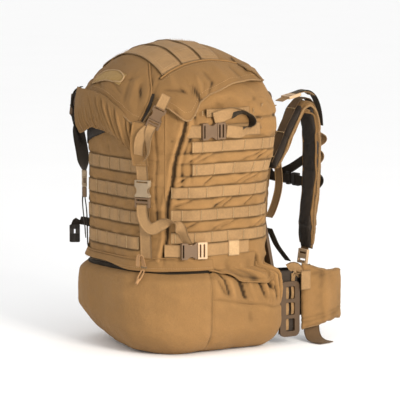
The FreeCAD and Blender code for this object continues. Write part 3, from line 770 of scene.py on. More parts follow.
# ---- zip between the compartments ---------------------------------------------------------------
def zip_line():
    s = np.linspace(-ZIP_END, ZIP_END, 150)[:, None]
    p = skin(s, ZIP_Z + np.linspace(-10, 7, 7)[None], 1.2)
    slab("zip_tape_cloth", p, 0.9, black_tape, "pack", "zip_tape", slot="webbing")
    teeth = []
    for k, at in enumerate(np.arange(-ZIP_END + 4, ZIP_END - 4, 3.4)):
        side = 1 if k % 2 else -1
        teeth.append(tube_parts(skin(at, ZIP_Z + np.array([-3.4, 1.6]) * side, 2.6), 1.15, 6))
    finish_mesh("zip_teeth", *merged(teeth), [zip_black])
    # the rain flap: sewn in above, standing off the zip below, with a bound free edge
    s = np.linspace(-ZIP_END, ZIP_END, 170)[:, None]
    t = np.linspace(0, 1, 9)[None]
    top = 192 + 4 * smooth(s, 90, 160) + 32 * smooth(-s, 150, 215)
    low = 170 + 8.5 * (1 - smooth(s, -20, 90)) + 10 * smooth(-s, 130, 210) + 2 * smooth(s, 120, 200)
    lift = 2.0 + 8.0 * (1 - t) ** 1.3 + 0.8 * np.sin(s / 29)
    # lighter along the free edge (wear), and painted shade just under the sewn top
    shade = 0.35 * bump(t, 0.05, 0.08) - 0.35 * bump(t, 0.88, 0.06) + 0 * s
    p = skin(s, top + (low - top) * (1 - t), lift, 0.35)
    slab("zip_flap_cloth", p, 1.6, cordura, "pack", "zip_flap", shade)
    end = ZIP_END - 3
    seam, _ = surface_line([(-end, 226), (-200, 218), (-165, 198), (-120, 193), (60, 192), (150, 197),
                            (end, 197)], 2.6, 0.4)
    tube("zip_flap_seam", seam, 1.5, cordura)
    stitch_line(*surface_line([(-110, 176), (end, 177)], 9.6, 0.35), "pack")


def zip_pull():
    """The cord loop that hangs from the pull's eye, and the cloth tab above the slider."""
    out, along, base = corner(MAIN, STRAP_ANGLE, 9.0)
    base[2] = 172
    down = out * math.sin(math.radians(48)) - UP * math.cos(math.radians(48))
    loop = [base + along * a + down * d for a, d in (
        (-3.2, 2), (-4.2, 14), (-3, 27), (0, 33), (3, 27), (4.2, 14), (3.2, 2), (0, -1.5), (-3.2, 2))]
    end = [base + down * d for d in (24, 34, 36)]
    parts = merged([tube_parts(polyline(loop, 1.5, 2), 1.5), tube_parts(polyline(end, 1.5, 1), 3.0)])
    finish_mesh("zip_pull_cord", *parts, [cord_mat], "zip_pull", "zip_pull")
    tab = [base + out * o + UP * u + along * a for o, u, a in (
        (6, 8, 6), (12, 22, 6), (14, 34, 3), (16, 30, -2), (15, 18, -4), (13, 9, -5))]
    strap("zip_pull_tab", tab, along + 0.3 * out, 9, cord_mat, "zip_slider")


zip_line()
zip_pull()


# ---- straps on the bag --------------------------------------------------------------------------
def around(path, sign=1):
    """3D points from (s, z, lift) on the bag's plain form, mirrored to the left where sign is -1."""
    return [skin(sign * s, z, lift, 0.0) for s, z, lift in path]


def side_straps():
    high, low = 448, 212        # the heights of the two straps
    pieces = {"upper_anchor": [(196, high, 2.6), (214, high, 3.4), (215.5, high, 5.5), (226.5, high, 9.8)],
              "upper_tail": [(264.5, high, 9.8), (278.5, high, 7.0), (300.5, high, 4.6), (328.5, high, 3.8)],
              "lower_anchor": [(152, low, 4.2), (166, low, 4.6), (176, low, 6.5), (183, low, 9.8)],
              "lower_tail": [(222, low, 9.8), (236, low, 6.5), (262, low, 4.4), (336, low + 1, 4.4)]}
    # the upper strap's spare webbing, curled back over itself, with a black strip inside the curl as painted
    # shade
    curl = [(266.5, 447, 13.0), (278.5, 445, 15), (292.5, 443, 17), (305.5, 449, 17), (311.5, 462, 17),
            (307.5, 476, 16.5), (294.5, 485, 15), (276.5, 484, 13), (260.5, 478, 11), (246.5, 473, 10)]
    inner = [(s + 0.07 * (290 - s), z + 0.09 * (463 - z), lift) for s, z, lift in curl[2:8]]
    # partial row and the stitched strips above the upper strap
    strips = (("side_strip", 16, [(236.5, 484, 3.0), (270.5, 484, 3.2), (310.5, 485, 3.0)]),
              ("side_strip_back", 17, [(336, 487, 2.8), (380, 489, 3.0), (424, 492, 2.8)]),
              ("side_row_part", 22, [(330, 458, 2.4), (380, 460, 2.8), (424, 462, 2.4)]))
    for sign, side in SIDES:
        clip = f"side_clip_upper_{side}"
        for name, path in pieces.items():
            cad = "side_strap_anchors" if "anchor" in name else "side_strap_tails"
            slack = name == "upper_tail"       # rides on no body, and its placement is baked in
            obj = strap(f"side_strap_{name}_{side}", around(path, sign), UP, WEB, tape,
                        None if slack else "pack", cad)
            if slack:
                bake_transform(obj)
        # the lower tail's keeper and its folded end
        keeper = around([(286, low, 6.6), (299, low, 6.8), (311, low, 6.6)], sign)
        strap(f"side_strap_keeper_{side}", keeper, UP, 31, pale_tape, thick=2.4)
        out = np.array([sign, 0, 0])
        turn = [UP, UP, UP + 0.5 * out, 0.4 * UP + out, out, out, 0.8 * out + 0.4 * UP, UP + 0.4 * out,
                UP, UP]
        strap(f"side_strap_loop_{side}", around(curl, sign), turn, WEB, tape, clip, rounds=4)
        # black strip inside the curl: painted shade
        strap(f"side_strap_loop_shadow_{side}", around(inner, sign), turn[2:8], WEB * 0.95, black_tape, clip,
              thick=1.0, rounds=4)
        for name, width, path in strips:
            strap(f"{name}_{side}", around(path, sign), UP, width, tape, thick=1.4)
        for k in range(8):
            a, b, c, off = around([(212 + 15 * k, z, lift) for z, lift in
                                   ((480, 4.4), (488, 4.4), (484, 4.4), (484, 5.4))], sign)
            tack(a, b, off - c, "pack", 2.2)


def front_straps():
    s0 = MARKS[1] + MAIN[3] * STRAP_ANGLE
    _, along, _ = corner(MAIN, STRAP_ANGLE)
    for sign, side in SIDES:
        # the left straps are black as painted shade: the same webbing as the right, on the shaded side
        mat = tape if sign > 0 else black_tape
        across = along * (1, sign, 0)
        anchor = around([(s0 + 4, 196, 3.4), (s0 + 3, 240, 4.4), (s0, 270, 5.2), (s0, 296, 9.0),
                         (s0, 306, 9.8)], sign)
        obj = strap(f"front_strap_{side}", anchor, across, WEB, mat, None, "front_straps", slot="webbing")
        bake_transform(obj)
        # spare end: out of the ladder, on the right in a curl across the rows, on the left straight down
        out = np.array([along[1], -along[0], 0])
        spare = [(0, 303, 13.0), (1, 286, 16), (7, 267, 17), (20, 254, 18), (34, 263, 20), (48, 273, 25),
                 (61, 272, 26), (70, 260, 22), (78, 244, 15), (84, 228, 9)]
        tilt = [across, across, across * 0.8 + 0.7 * UP, UP + 0.1 * out, UP + 0.3 * out, 0.5 * UP + out,
                0.3 * UP + 0.8 * out - 0.5 * across, 0.3 * UP - across, -across]
        if sign < 0:
            spare, tilt = [(0, 303, 13), (2, 286, 14), (3, 262, 12), (6, 236, 9), (12, 214, 8)], across
        path = around([(s0 + s, z, lift) for s, z, lift in spare], sign)
        obj = strap(f"front_strap_spare_{side}", path, tilt, WEB * 0.92, mat, None, rounds=4, slot="webbing")
        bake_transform(obj)


def side_hem():
    """The main side panel's loose hem, sagging over the lower compartment's gathers."""
    for sign, side in SIDES:
        a = np.linspace(240, 355, 70)[::sign, None]
        low = np.interp(a, [240, 267, 291, 326, 343, 350, 355], [169, 158, 145, 139, 149, 166, 186])
        t = np.linspace(0, 1, 18)[None]
        z = low + (200 - low) * t
        wave = 1.4 * np.sin(a / 8.5 + 4 * t) + 0.9 * np.sin(a / 3.9 + 1)
        p = skin(sign * a, z, 2.4 + (6.0 + wave) * (1 - t) ** 1.6, 0.45)
        # painted shade just above the hem and in the troughs of its ripples, and lighter crests
        shade = 0.5 * (1 - t) * wave / 2 - 0.5 * bump(z - low, 7, 2.5)
        slab(f"side_hem_{side}", p, 2.0, cordura, shade=shade)
        tube(f"side_hem_edge_{side}", p[::2, 0], 1.7, cordura)


def hanging_buckle():
    """The dark buckle that hangs from the left end of the webbing."""
    hang = [(-144, -108, 236), (-158, -121, 241), (-169, -131, 239), (-171, -133, 229)]
    strap("left_web_tab", hang, [UP, UP, SKEW, SKEW], 17, black_tape, thick=3.0)
    foot = np.array([-171.5, -133.5, 0])
    for name, a, b, width, way in (
            ("front", (-6.2, 230), (-6.2, 196), 9, SKEW), ("back", (6.2, 230), (6.2, 196), 9, SKEW),
            ("top", (-9, 227), (9, 227), 9, UP), ("low", (-9, 204), (9, 204), 18, UP)):
        ends = [foot + SKEW * q[0] + UP * q[1] for q in (a, b)]
        strap(f"left_web_buckle_{name}", ends, way, width, dark_acetal, thick=5.0, rounds=0)


side_straps()
front_straps()
side_hem()
hanging_buckle()


# ---- lid ----------------------------------------------------------------------------------------
LID_CENTRE = np.array([0.0, 4.0, DOME_Z - 4])
LID_EYE = np.array([0.0, 0.0, 470.0])     # the lid's surface is seen from here when it is measured
# Lower edge of the lid's dome, by azimuth in degrees round from -Y (positive to the right): height.
EDGE_AT = [-180, -150, -130, -115, -101, -86, -75, -68, -64, -58, -52, -47, -42, -33, -10, 0, 8, 22, 33, 39,
           43, 47, 54, 59, 64, 68, 74, 80, 88, 101, 115, 130, 150, 180]
EDGE_Z = [533, 536, 541, 545, 541, 527, 508, 478, 473, 484, 496, 506, 514, 518, 517, 514, 508, 489, 466, 460,
          486, 503, 497, 485, 471, 474, 508, 520, 527, 541, 545, 541, 536, 533]
PIPING = [(70, -104, 582), (100, -121, 556), (126, -133, 528), (134, -150, 503), (130, -170, 470)]
CHEEK_X = 112


def lid_folds(p):
    """How far the lid's cloth stands out from, or falls in under, its plain form."""
    d = 2.0 * wobble(p, 100, 41) - 1.2 * crumple(p, 74, 141) - 0.8 * crumple(p, 46, 142)
    for a, b, depth, width in LID_CREASES:
        d = d + crease(p, a, b, depth, width)
    seam = np.abs(np.abs(p[..., 0]) - CHEEK_X)
    return d - 2.5 * np.exp(-(seam / 4) ** 2) * smooth(p[..., 1], -112, -100) * (p[..., 2] > 520)


def lid_creases():
    """The lid's folds as (start, end, depth, width), laid on its surface."""
    either = [((164, -62, 548), (191, -50, 508), 4.5, 3.6), ((150, -46, 562), (188, -38, 514), -3, 8),
              ((168, -110, 500), (180, -98, 478), 3, 4), ((146, -128, 540), (186, -66, 530), 3.2, 6),
              ((164, -112, 512), (188, -86, 480), -2.6, 9), ((120, -88, 572), (152, -96, 542), -2.4, 8),
              ((140, -20, 572), (176, -10, 540), 2.6, 7), ((130, 12, 578), (176, 22, 545), -2.6, 9),
              ((128, 44, 574), (168, 62, 545), 2.4, 7), ((122, 84, 560), (150, 96, 545), -2.4, 8),
              ((92, -132, 556), (122, -168, 486), 2.8, 6), ((78, -140, 556), (104, -178, 498), -2.2, 7),
              ((60, -140, 566), (84, -182, 506), 2.2, 6), ((110, -122, 548), (134, -152, 502), -2.4, 6)]
    either += [(a, b, 3.4, 3.6) for a, b in zip(PIPING, PIPING[1:])]
    # gathers that fan out from the stay at the cheek's lower edge
    for dy, dz, deep in ((-58, 20, 2.0), (-40, 40, 3.4), (-20, 50, 2.6), (2, 60, 4.0), (24, 44, 2.6),
                         (44, 40, 3.4), (66, 22, 2.4)):
        either += [((166, -54 + dy, 508 + dz), (189, -53 + 0.15 * dy, 504), deep, 3.2),
                   ((166, -46 + dy, 508 + dz), (189, -50 + 0.3 * dy, 506), -0.6 * deep, 4)]
    rows = [((sign * a[0], *a[1:]), (sign * b[0], *b[1:]), depth, width)
            for sign in (1, -1) for a, b, depth, width in either]
    for x, y, z, run, drop, deep in ((-120, -112, 545, 30, 22, 2.6), (-88, -140, 540, 34, 18, 2.0),
                                     (-40, -152, 538, 40, 12, 2.2), (18, -152, 540, 46, 20, 2.4),
                                     (-96, -112, 572, 44, 14, 1.8), (96, -112, 560, 20, 34, 2.4),
                                     (84, -132, 540, 26, 30, 2.0), (112, -108, 548, 12, 36, 2.2)):
        rows.append(((x, y, z), (x + run, y - 14, z - drop), deep, 3.6))
    rows += [((-60, -112, 592), (40, -118, 590), -2.5, 12), ((-95, -130, 560), (-40, -158, 556), 2, 7)]
    ends = np.array([row[:2] for row in rows], float) - LID_EYE
    ends = march(LID_EYE, ends / np.linalg.norm(ends, axis=-1, keepdims=True), 0.0)
    return [(a, b, depth, width) for (a, b), (_, _, depth, width) in zip(ends, rows)]


def lid_field(p, grow):
    """Negative inside the lid's soft form: a dome that rounds over into its walls."""
    half, front, back, rf, rb = LID
    x, y, z = np.abs(p[..., 0]), p[..., 1], p[..., 2]
    full = np.clip(2 * x * y / (x * x + y * y + 1), 0, 1)       # its rear corners are fuller than the dome
    swell = 15 * full * window(z, 470, 530, 545, 590)
    ball = np.linalg.norm(p - LID_CENTRE, axis=-1) - (DOME_R + 2 + swell)
    fore = y < 5
    r = np.where(fore, rf, rb)
    qx = x - (half - r)
    qy = np.where(fore, (front + rf) - y, y - (back - rb))
    wall = np.hypot(np.maximum(qx, 0), np.maximum(qy, 0)) + np.minimum(np.maximum(qx, qy), 0) - r - 4
    return (ball + wall + np.sqrt((ball - wall) ** 2 + 24 ** 2)) / 2 - grow


def march(origin, direction, grow, reach=320.0):
    low, high = np.zeros(direction.shape[:-1]), np.full(direction.shape[:-1], reach)
    for _ in range(26):
        middle = (low + high) / 2
        inside = lid_field(origin + direction * middle[..., None], grow) < 0
        low, high = np.where(inside, middle, low), np.where(inside, high, middle)
    return origin + direction * low[..., None]


LID_CREASES = lid_creases()


def lid_rays(azimuth, height_angle):
    c = np.cos(height_angle)
    return np.stack([c * np.sin(azimuth), -c * np.cos(azimuth), np.sin(height_angle)], -1)


def lid_normal(q):
    e = 0.8
    return unit(np.stack([lid_field(q + e * v, 0) - lid_field(q - e * v, 0) for v in np.eye(3)], -1))


def on_lid(p, grow=0.0):
    """Points pushed along rays from inside onto the lid's folded surface, grow millimetres off it."""
    q = march(LID_EYE, unit(np.asarray(p, float) - LID_EYE), 0.0)
    return q + lid_normal(q) * (grow + lid_folds(q))[..., None]


def lid_over(x, y, grow=0.0, soft=1.0):
    """Points on the lid straight above (x, y)."""
    x, y = np.broadcast_arrays(np.asarray(x, float), np.asarray(y, float))
    base = np.stack([x, y, 0 * x + 440.0], -1)
    q = march(base, np.broadcast_to(UP, base.shape), 0.0, 230.0)
    return q + lid_normal(q) * (grow + soft * lid_folds(q))[..., None]


def lid_edge_angle(azimuth, height):
    """The height angle at which the lid's surface has that height, for each azimuth."""
    low, high = np.full(azimuth.shape, -0.6), np.full(azimuth.shape, 1.2)
    for _ in range(22):
        middle = (low + high) / 2
        z = march(LID_EYE, lid_rays(azimuth, middle), 0.0)[..., 2]
        low, high = np.where(z < height, middle, low), np.where(z < height, high, middle)
    return low


def lid_dome():
    """The lid's crown and cheeks as one shell, with a bound and stitched edge."""
    n, m, hem = ((330, 96, 5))
    azimuth = np.radians(np.linspace(-180, 180, n))
    first = lid_edge_angle(azimuth, np.interp(np.degrees(azimuth), EDGE_AT, EDGE_Z))
    t = np.linspace(0, 1, m)
    angle = first[:, None] + (PI / 2 - 0.01 - first)[:, None] * t[None]
    q = march(LID_EYE, lid_rays(azimuth[:, None], angle), 0.0)
    d = lid_folds(q)
    rim = bump(t[None] * (PI / 2 - first)[:, None] * 150, 0, 6)
    p = q + lid_normal(q) * (d + 1.5 * rim)[..., None]
    x, right = np.abs(q[..., 0]), np.stack([np.abs(q[..., 0]), q[..., 1], q[..., 2]], -1)
    seams = sum(crease(right, a, b, 1, 3.2) for a, b in zip(PIPING, PIPING[1:]))
    seams = seams + bump(x, CHEEK_X - 1, 2.2) * smooth(q[..., 1], -112, -100) * (q[..., 2] > 545)
    # painted shade: the folds' grooves, and a dark line along the piped seams and the cheek seam
    shade = shade_of(d) - 0.9 * np.clip(np.abs(seams), 0, 1)
    cad = ("lid_top_panel", "lid_cheek_right", "lid_cheek_left")
    slab("lid_cloth", p, 2.6, lid_shaded_cordura, "lid", cad, shade, closed=True)
    tube("lid_edge_binding", p[::2, 0] - 0.6 * UP, 1.9, tape, "lid", sides=6)
    stitch_line(p[:, hem], lid_normal(q[:, hem]))


def lid_skirt():
    """The gathered skirt below the lid's front seam, with its elastic hem."""
    n, m = ((300, 34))
    c, t = np.linspace(0, 1, n)[:, None], np.linspace(0, 1, m)[None]
    top, low = [np.radians(-50 + 88 * part) for part in (c, 0.25 * c + 0.75 * c ** 0.82)]
    edge = np.interp(np.degrees(top), EDGE_AT, EDGE_Z) + 5
    hem = np.interp(np.degrees(low), [-50, -42, -34, -24, -13, 4, 16, 24, 30, 34, 38],
                    [462, 446, 430, 436, 449, 445, 438, 424, 408, 399, 401])
    azimuth = top + (low - top) * smooth(t, -0.3, 1)
    q = march(LID_EYE, lid_rays(azimuth, 0 * azimuth), 0.0)
    q[..., 2] = edge + (hem - edge) * t
    # fine gathers towards the elastic hem on the left, long slanting folds on the right
    beat = np.cumsum(np.random.default_rng(5).uniform(0.4, 1.6, n))[:, None]
    beat = 2 * PI * beat / beat[-1]
    fine = 0.6 * np.sin(27 * beat) + 0.45 * np.sin(44 * beat + 2) + 0.25 * np.sin(71 * beat)
    d = (1 - smooth(c, 0.45, 0.66)) * fine * (0.15 + 1.8 * smooth(t, 0.3, 1))
    for start, end, wide, deep in ((0.40, 0.52, 0.010, 2.5), (0.50, 0.63, 0.011, 4), (0.575, 0.74, 0.014, 7),
                                   (0.66, 0.80, 0.011, 4), (0.76, 0.85, 0.012, 6), (0.875, 0.93, 0.011, 7),
                                   (0.925, 0.955, 0.009, 5)):
        at = start + (end - start) * t
        span = smooth(t, 0.02, 0.35) * (1 - 0.6 * smooth(t, 0.85, 1))
        d = d - deep * span * (bump(c, at, wide) - 0.6 * bump(c, at + 1.9 * wide, wide))
    belly = 6 * np.sin(PI * t) - 4 * smooth(t, 0.8, 1)
    drawn_in = 3.2 + 14 * smooth(c, 0.8, 1) * smooth(t, 0.2, 1)
    p = q + lid_rays(azimuth, 0 * azimuth) * (d + belly - drawn_in)[..., None]
    # painted shade in the gathers' grooves
    slab("lid_front_skirt_cloth", p, 2.0, lid_shaded_cordura, "lid", "lid_front_skirt", shade_of(d))
    tube("lid_skirt_hem", p[::3, -1], 2.3, cordura, "lid", sides=7)
    # black mesh band that stands for the deep shadow under the skirt's left end: painted shade
    s = np.linspace(-186, -20, 50)[:, None]
    low = np.interp(s, [-186, -168, -150, -20], [450, 410, 398, 436])
    z = low + (470 - low) * np.linspace(0, 1, 14)[None]
    away = 20 * smooth(-s, 125, 205) * smooth(z, 395, 465)
    slab("skirt_shadow_band", skin(s, z, 3.0 + away, 0.8), 1.2, black_mesh)


def lid_bands():
    """Three bands of broad webbing across the crown, each with its box stitches."""
    x, v = np.linspace(-CHEEK_X, CHEEK_X, 72)[:, None], np.linspace(0, 1, 12)[None]
    for k in range(3):
        y0 = -98 + 46 * k
        proud = 1.9 + 2.2 * (1 - smooth(v, 0, 0.25)) + 0.8 * np.sin(x / 23 + 2 * k) ** 2
        p = lid_over(x, y0 + 44 * v, proud, 0.5)
        slab(f"lid_band_{k + 1}", p, 2.0, tape, "lid", "lid_webbing_bands", 0.25 * wobble(p, 40, 60 + k))
        for sign, _ in SIDES:
            for x0, x1 in ((74, 104), (12, 40))[:1 if k == 1 else 2]:
                box = [(x0, 8), (x1, 8), (x1, 37), (x0, 37), (x0, 8)]
                line = polyline([(sign * a, y0 + b) for a, b in box], 3.0, 0)
                q = lid_over(line[:, 0], line[:, 1], 4.2, 0.5)
                stitch_line(q, lid_normal(q), "lid", 4.2, 3.2, 0.7)


def lid_seams():
    """The piped seams between the crown and the cheeks, and the elastic at the front."""
    y = -104 + 226 * np.linspace(0, 1, 40)
    for sign, side in SIDES:
        m = np.array([sign, 1, 1])
        guide = polyline(m * np.array(PIPING, float), 5, 1)
        tube(f"lid_piping_{side}", on_lid(guide, 1.6), 1.8, cordura, "lid")
        tube(f"lid_cheek_seam_{side}", lid_over(sign * (CHEEK_X + 2.0), y, 1.4, 0.7), 1.9, cordura, "lid")
        q = lid_over(sign * (CHEEK_X + 9.0), y, 0.5)
        stitch_line(q, lid_normal(q))
        # black elastic that shows along the front panel's edge
        guide = [(131, -134, 526), (137, -144, 506), (138, -154, 488), (136, -164, 468)]
        guide = polyline(m * np.array(guide), 5, 1)
        strap(f"lid_elastic_{side}", on_lid(guide, 1.2), m * (0.8, 0.6, 0), 6, black_tape, "lid", thick=2.2,
              rounds=0)


def lid_patches():
    """The blank name tape and the rear patch."""
    # blank name tape with a raised border
    x, v = np.linspace(-56, 48, 40)[:, None], np.linspace(0, 1, 9)[None]
    slab("name_patch_cloth", lid_over(x, -158 + 18 * v, 1.6, 0.8), 1.2, loop_mat, "lid", "name_patch")
    border = polyline([(-56, -158), (48, -158), (48, -140), (-56, -140), (-56, -158)], 4, 1)
    tube("name_patch_border", lid_over(border[:, 0], border[:, 1], 2.0, 0.8), 1.5, pale_tape, "lid", sides=6)
    # rear patch sewn over the right shoulder, its edge a little frayed
    x, v = np.linspace(94, 145, 26)[:, None], np.linspace(0, 1, 18)[None]
    y = 74 + 38 * v + 0.12 * (x - 94) + 0.9 * np.sin(x / 2.9) * (1 - v)
    ripple = 0.7 * np.sin(x / 7 + 4 * v) + 0.3 * np.sin(x / 3.3 - 3 * v)
    p = lid_over(x, y, 3.6 + ripple + 3 * smooth(x, 128, 145) * (1 - v), 0.8)
    # painted shade along the sewn edge and in the ripples' troughs, and lighter crests
    slab("lid_rear_patch", p, 1.8, lid_shaded_cordura, "lid", shade=0.3 * ripple - 0.4 * bump(v, 0.1, 0.05))


def lid_hinge():
    """Piping along the back edge, and a strip of cloth along it."""
    x = np.linspace(-92, 92, 40)
    cord = np.stack([x, 0 * x + 150.4, 531 + 0.6 * np.sin(x / 20)], -1)
    obj = tube("lid_hinge_cord", cord, 2.4, cordura, None, "lid_hinge_piping")
    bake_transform(obj)
    x, v = np.linspace(-128, 128, 50)[:, None], np.linspace(0, 1, 12)[None]
    y = 146.5 - 26 * smooth(np.abs(x), 90, 130) + 2.5 * np.sin(PI * v)
    obj = slab("lid_hinge_strip", np.stack(np.broadcast_arrays(x, y, 515 + 30 * v), -1), 1.6, cordura, None)
    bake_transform(obj)


def lid_straps():
    """The straps from the lid to the front clips, and the webbing of the small corner buckles."""
    n, along, foot = corner(MAIN, STRAP_ANGLE)
    out, around_corner, spot = corner(LID, math.radians(46), 5.4)
    spot[2] = 474
    lean = unit(-0.45 * around_corner - UP)
    wide = np.cross(out, lean)
    for sign, side in SIDES:
        m, right = np.array([sign, 1, 1]), sign > 0
        # the left straps are black as painted shade: the same webbing as the right, on the shaded side
        mat = tape if right else black_tape

        def at(lift, z, shift=0.0):
            return m * (foot + n * lift + UP * z + along * shift)

        def near(down, away=0.0, aside=0.0):
            return m * (spot + lean * down + out * away + wide * aside)
        hang = [at(30, 470, 8), at(34, 440, 5), at(30, 418, 2), at(18, 390)] if right else \
            [at(18, 462, 8), at(22, 440, 5), at(19, 416, 2), at(14, 390)]
        turned = [m * q for q in ([along] if right else [along, 0.5 * along + n, n, 0.4 * along + n, along])]
        strap(f"lid_strap_{side}", hang + [at(11.5, 366), at(9.8, 345)], turned, WEB, mat, "lid",
              "lid_strap_webbing", slot="webbing")
        if right:
            tongue = [at(33, 468, 8), at(37, 440, 5), at(33, 418, 2), at(21.5, 392), at(17.5, 381)]
            strap(f"lid_tongue_{side}", tongue, along, 34, cordura, "lid", thick=2.2, slot="webbing")
            q = np.stack([at(20.5, 384, v) for v in np.linspace(-15, 15, 12)])
            stitch_line(q, np.tile(n, (12, 1)), "lid", 3.6, 2.8)
        upper = [near(-25), near(-34, -2), near(-44, -6), near(-54, -9)][:4 if right else 2]
        strap(f"corner_strap_upper_{side}", upper, m * wide, 20, mat, "lid", slot="webbing")
        lower = [at(40, 446, 14), at(37, 424, 6), at(29, 404, 2)] if right else \
            [at(30, 446, 12), at(23, 424, 6), at(17, 404, 2)]
        strap(f"corner_strap_lower_{side}", [near(4.5, 1), near(12)] + lower,
              [m * wide, m * wide, m * along], 20, mat, "lid", slot="webbing")
        if right:
            spare = [near(12, 4), near(26, 8), near(44, 7, 6), near(62, 2, 14), near(80, -10, 12)]
            strap(f"corner_strap_spare_{side}", spare, [wide, out + wide, out], 18, mat, "lid", rounds=4)
    # two black loops at the left end of the lid's front seam
    for k in range(2):
        loop = np.array([(-113, -152, 522), (-122, -160, 516), (-129, -163, 500), (-131, -164, 484),
                         (-128, -160, 475), (-121, -156, 480)], float)
        loop[:, 0] += k * np.array([5, 3, 3, 3, 3, 3])
        strap(f"lid_side_loop_{k + 1}", loop, (0.7, -0.7, 0), 12, black_tape, "lid", rounds=4)


lid_dome()
lid_skirt()
lid_bands()
lid_seams()
lid_patches()
lid_hinge()
lid_straps()


# ---- padded pieces ------------------------------------------------------------------------------
def read(items, key):
    """A vector of each of a mesh's vertices or faces, as rows."""
    values = np.zeros(len(items) * 3)
    items.foreach_get(key, values)
    return values.reshape(-1, 3)


def puff(obj, cap, pressure=4.0, voxel=5.0):
    """Fills a closed mesh like a cushion with a short pressure simulation, and applies the result."""
    scene = bpy.context.scene
    source = obj.copy()
    source.data = obj.data.copy()
    scene.collection.objects.link(source)
    remesh = source.modifiers.new("remesh", "REMESH")
    remesh.mode, remesh.voxel_size = "VOXEL", voxel * MM

    def settled():
        return source.evaluated_get(bpy.context.evaluated_depsgraph_get())
    mesh = bpy.data.meshes.new_from_object(settled())
    source.modifiers.clear()
    source.data = mesh
    rest = read(mesh.vertices, "co")
    move = 0 * rest
    cloth = source.modifiers.new("cloth", "CLOTH")
    cloth.settings.quality = 4
    cloth.settings.use_pressure = True
    cloth.settings.uniform_pressure_force = pressure
    cloth.settings.effector_weights.gravity = 0
    cloth.point_cache.frame_start, cloth.point_cache.frame_end = 1, 20
    for frame_number in range(1, 21):
        scene.frame_set(frame_number)
    move = read(settled().to_mesh().vertices, "co") - rest
    source.modifiers.clear()
    scene.frame_set(1)
    move *= np.minimum(1, cap * MM / np.maximum(np.linalg.norm(move, axis=1, keepdims=True), 1e-9))
    mesh.vertices.foreach_set("co", (rest + move).ravel())
    mesh.update()
    subdivide = source.modifiers.new("subdivide", "SUBSURF")
    subdivide.levels = subdivide.render_levels = 1
    final = bpy.data.meshes.new_from_object(settled())
    bpy.data.objects.remove(source)
    return final


def pad_piece(cad, sections, body, black_side, sculpt, cap, ends=("",), cloth=cordura):
    """A padded piece: filled by simulation, sculpted, with black mesh where black_side says. It stands for
    the cad node with each of the ends to its name, the second one being its mirror image."""
    verts = list(sections.reshape(-1, 3)) + [sections[0].mean(0), sections[-1].mean(0)]
    n, m = sections.shape[:2]
    faces = ring_faces(n, m) + [[(j + 1) % m, j, n * m] for j in range(m)]
    faces += [[(n - 1) * m + j, (n - 1) * m + (j + 1) % m, n * m + 1] for j in range(m)]
    rough = finish_mesh(cad + "_rough", verts, faces, [cordura], None)
    mesh = puff(rough, cap)
    bpy.data.objects.remove(rough)
    co = read(mesh.vertices, "co") / MM
    d = sculpt(co)
    co = co + read(mesh.vertices, "normal") * d[:, None]
    mesh.vertices.foreach_set("co", (co * MM).ravel())
    loops = [list(p.vertices) for p in mesh.polygons]
    mesh.update()
    dark = black_side(read(mesh.polygons, "normal"), read(mesh.polygons, "center") / MM).astype(int)
    pieces = []
    for sign, end in zip((1, -1), ends):
        # painted shade: the sculpted grooves darkened, the ridges worn lighter
        obj = finish_mesh(f"{cad}_cloth{end}", co * (sign, 1, 1), [f[::sign] for f in loops],
                          [cloth, black_mesh], body + end if body == cad else body, cad + end,
                          shade=np.clip(d / 5, -1, 1), indices=dark)
        pieces.append(obj)
    return read(pieces[0].data.vertices, "co") / MM


def rounded_ring(width, height, count=28, power=0.45):
    """Points round a soft-cornered cross section."""
    w = np.linspace(0, 2 * PI, count, endpoint=False)
    return (width / 2 * np.sign(np.cos(w)) * np.abs(np.cos(w)) ** power,
            height / 2 * np.sign(np.sin(w)) * np.abs(np.sin(w)) ** power)


PAD_LINE = polyline(PAD_PATH, 6.0, 4)       # (Y, Z)
TWINS = ("_right", "_left")


def farthest(co, near, measure):
    """The point of co, among those where near is true, that lies farthest by measure."""
    at = np.flatnonzero(near)
    return co[at[measure[at].argmax()]]


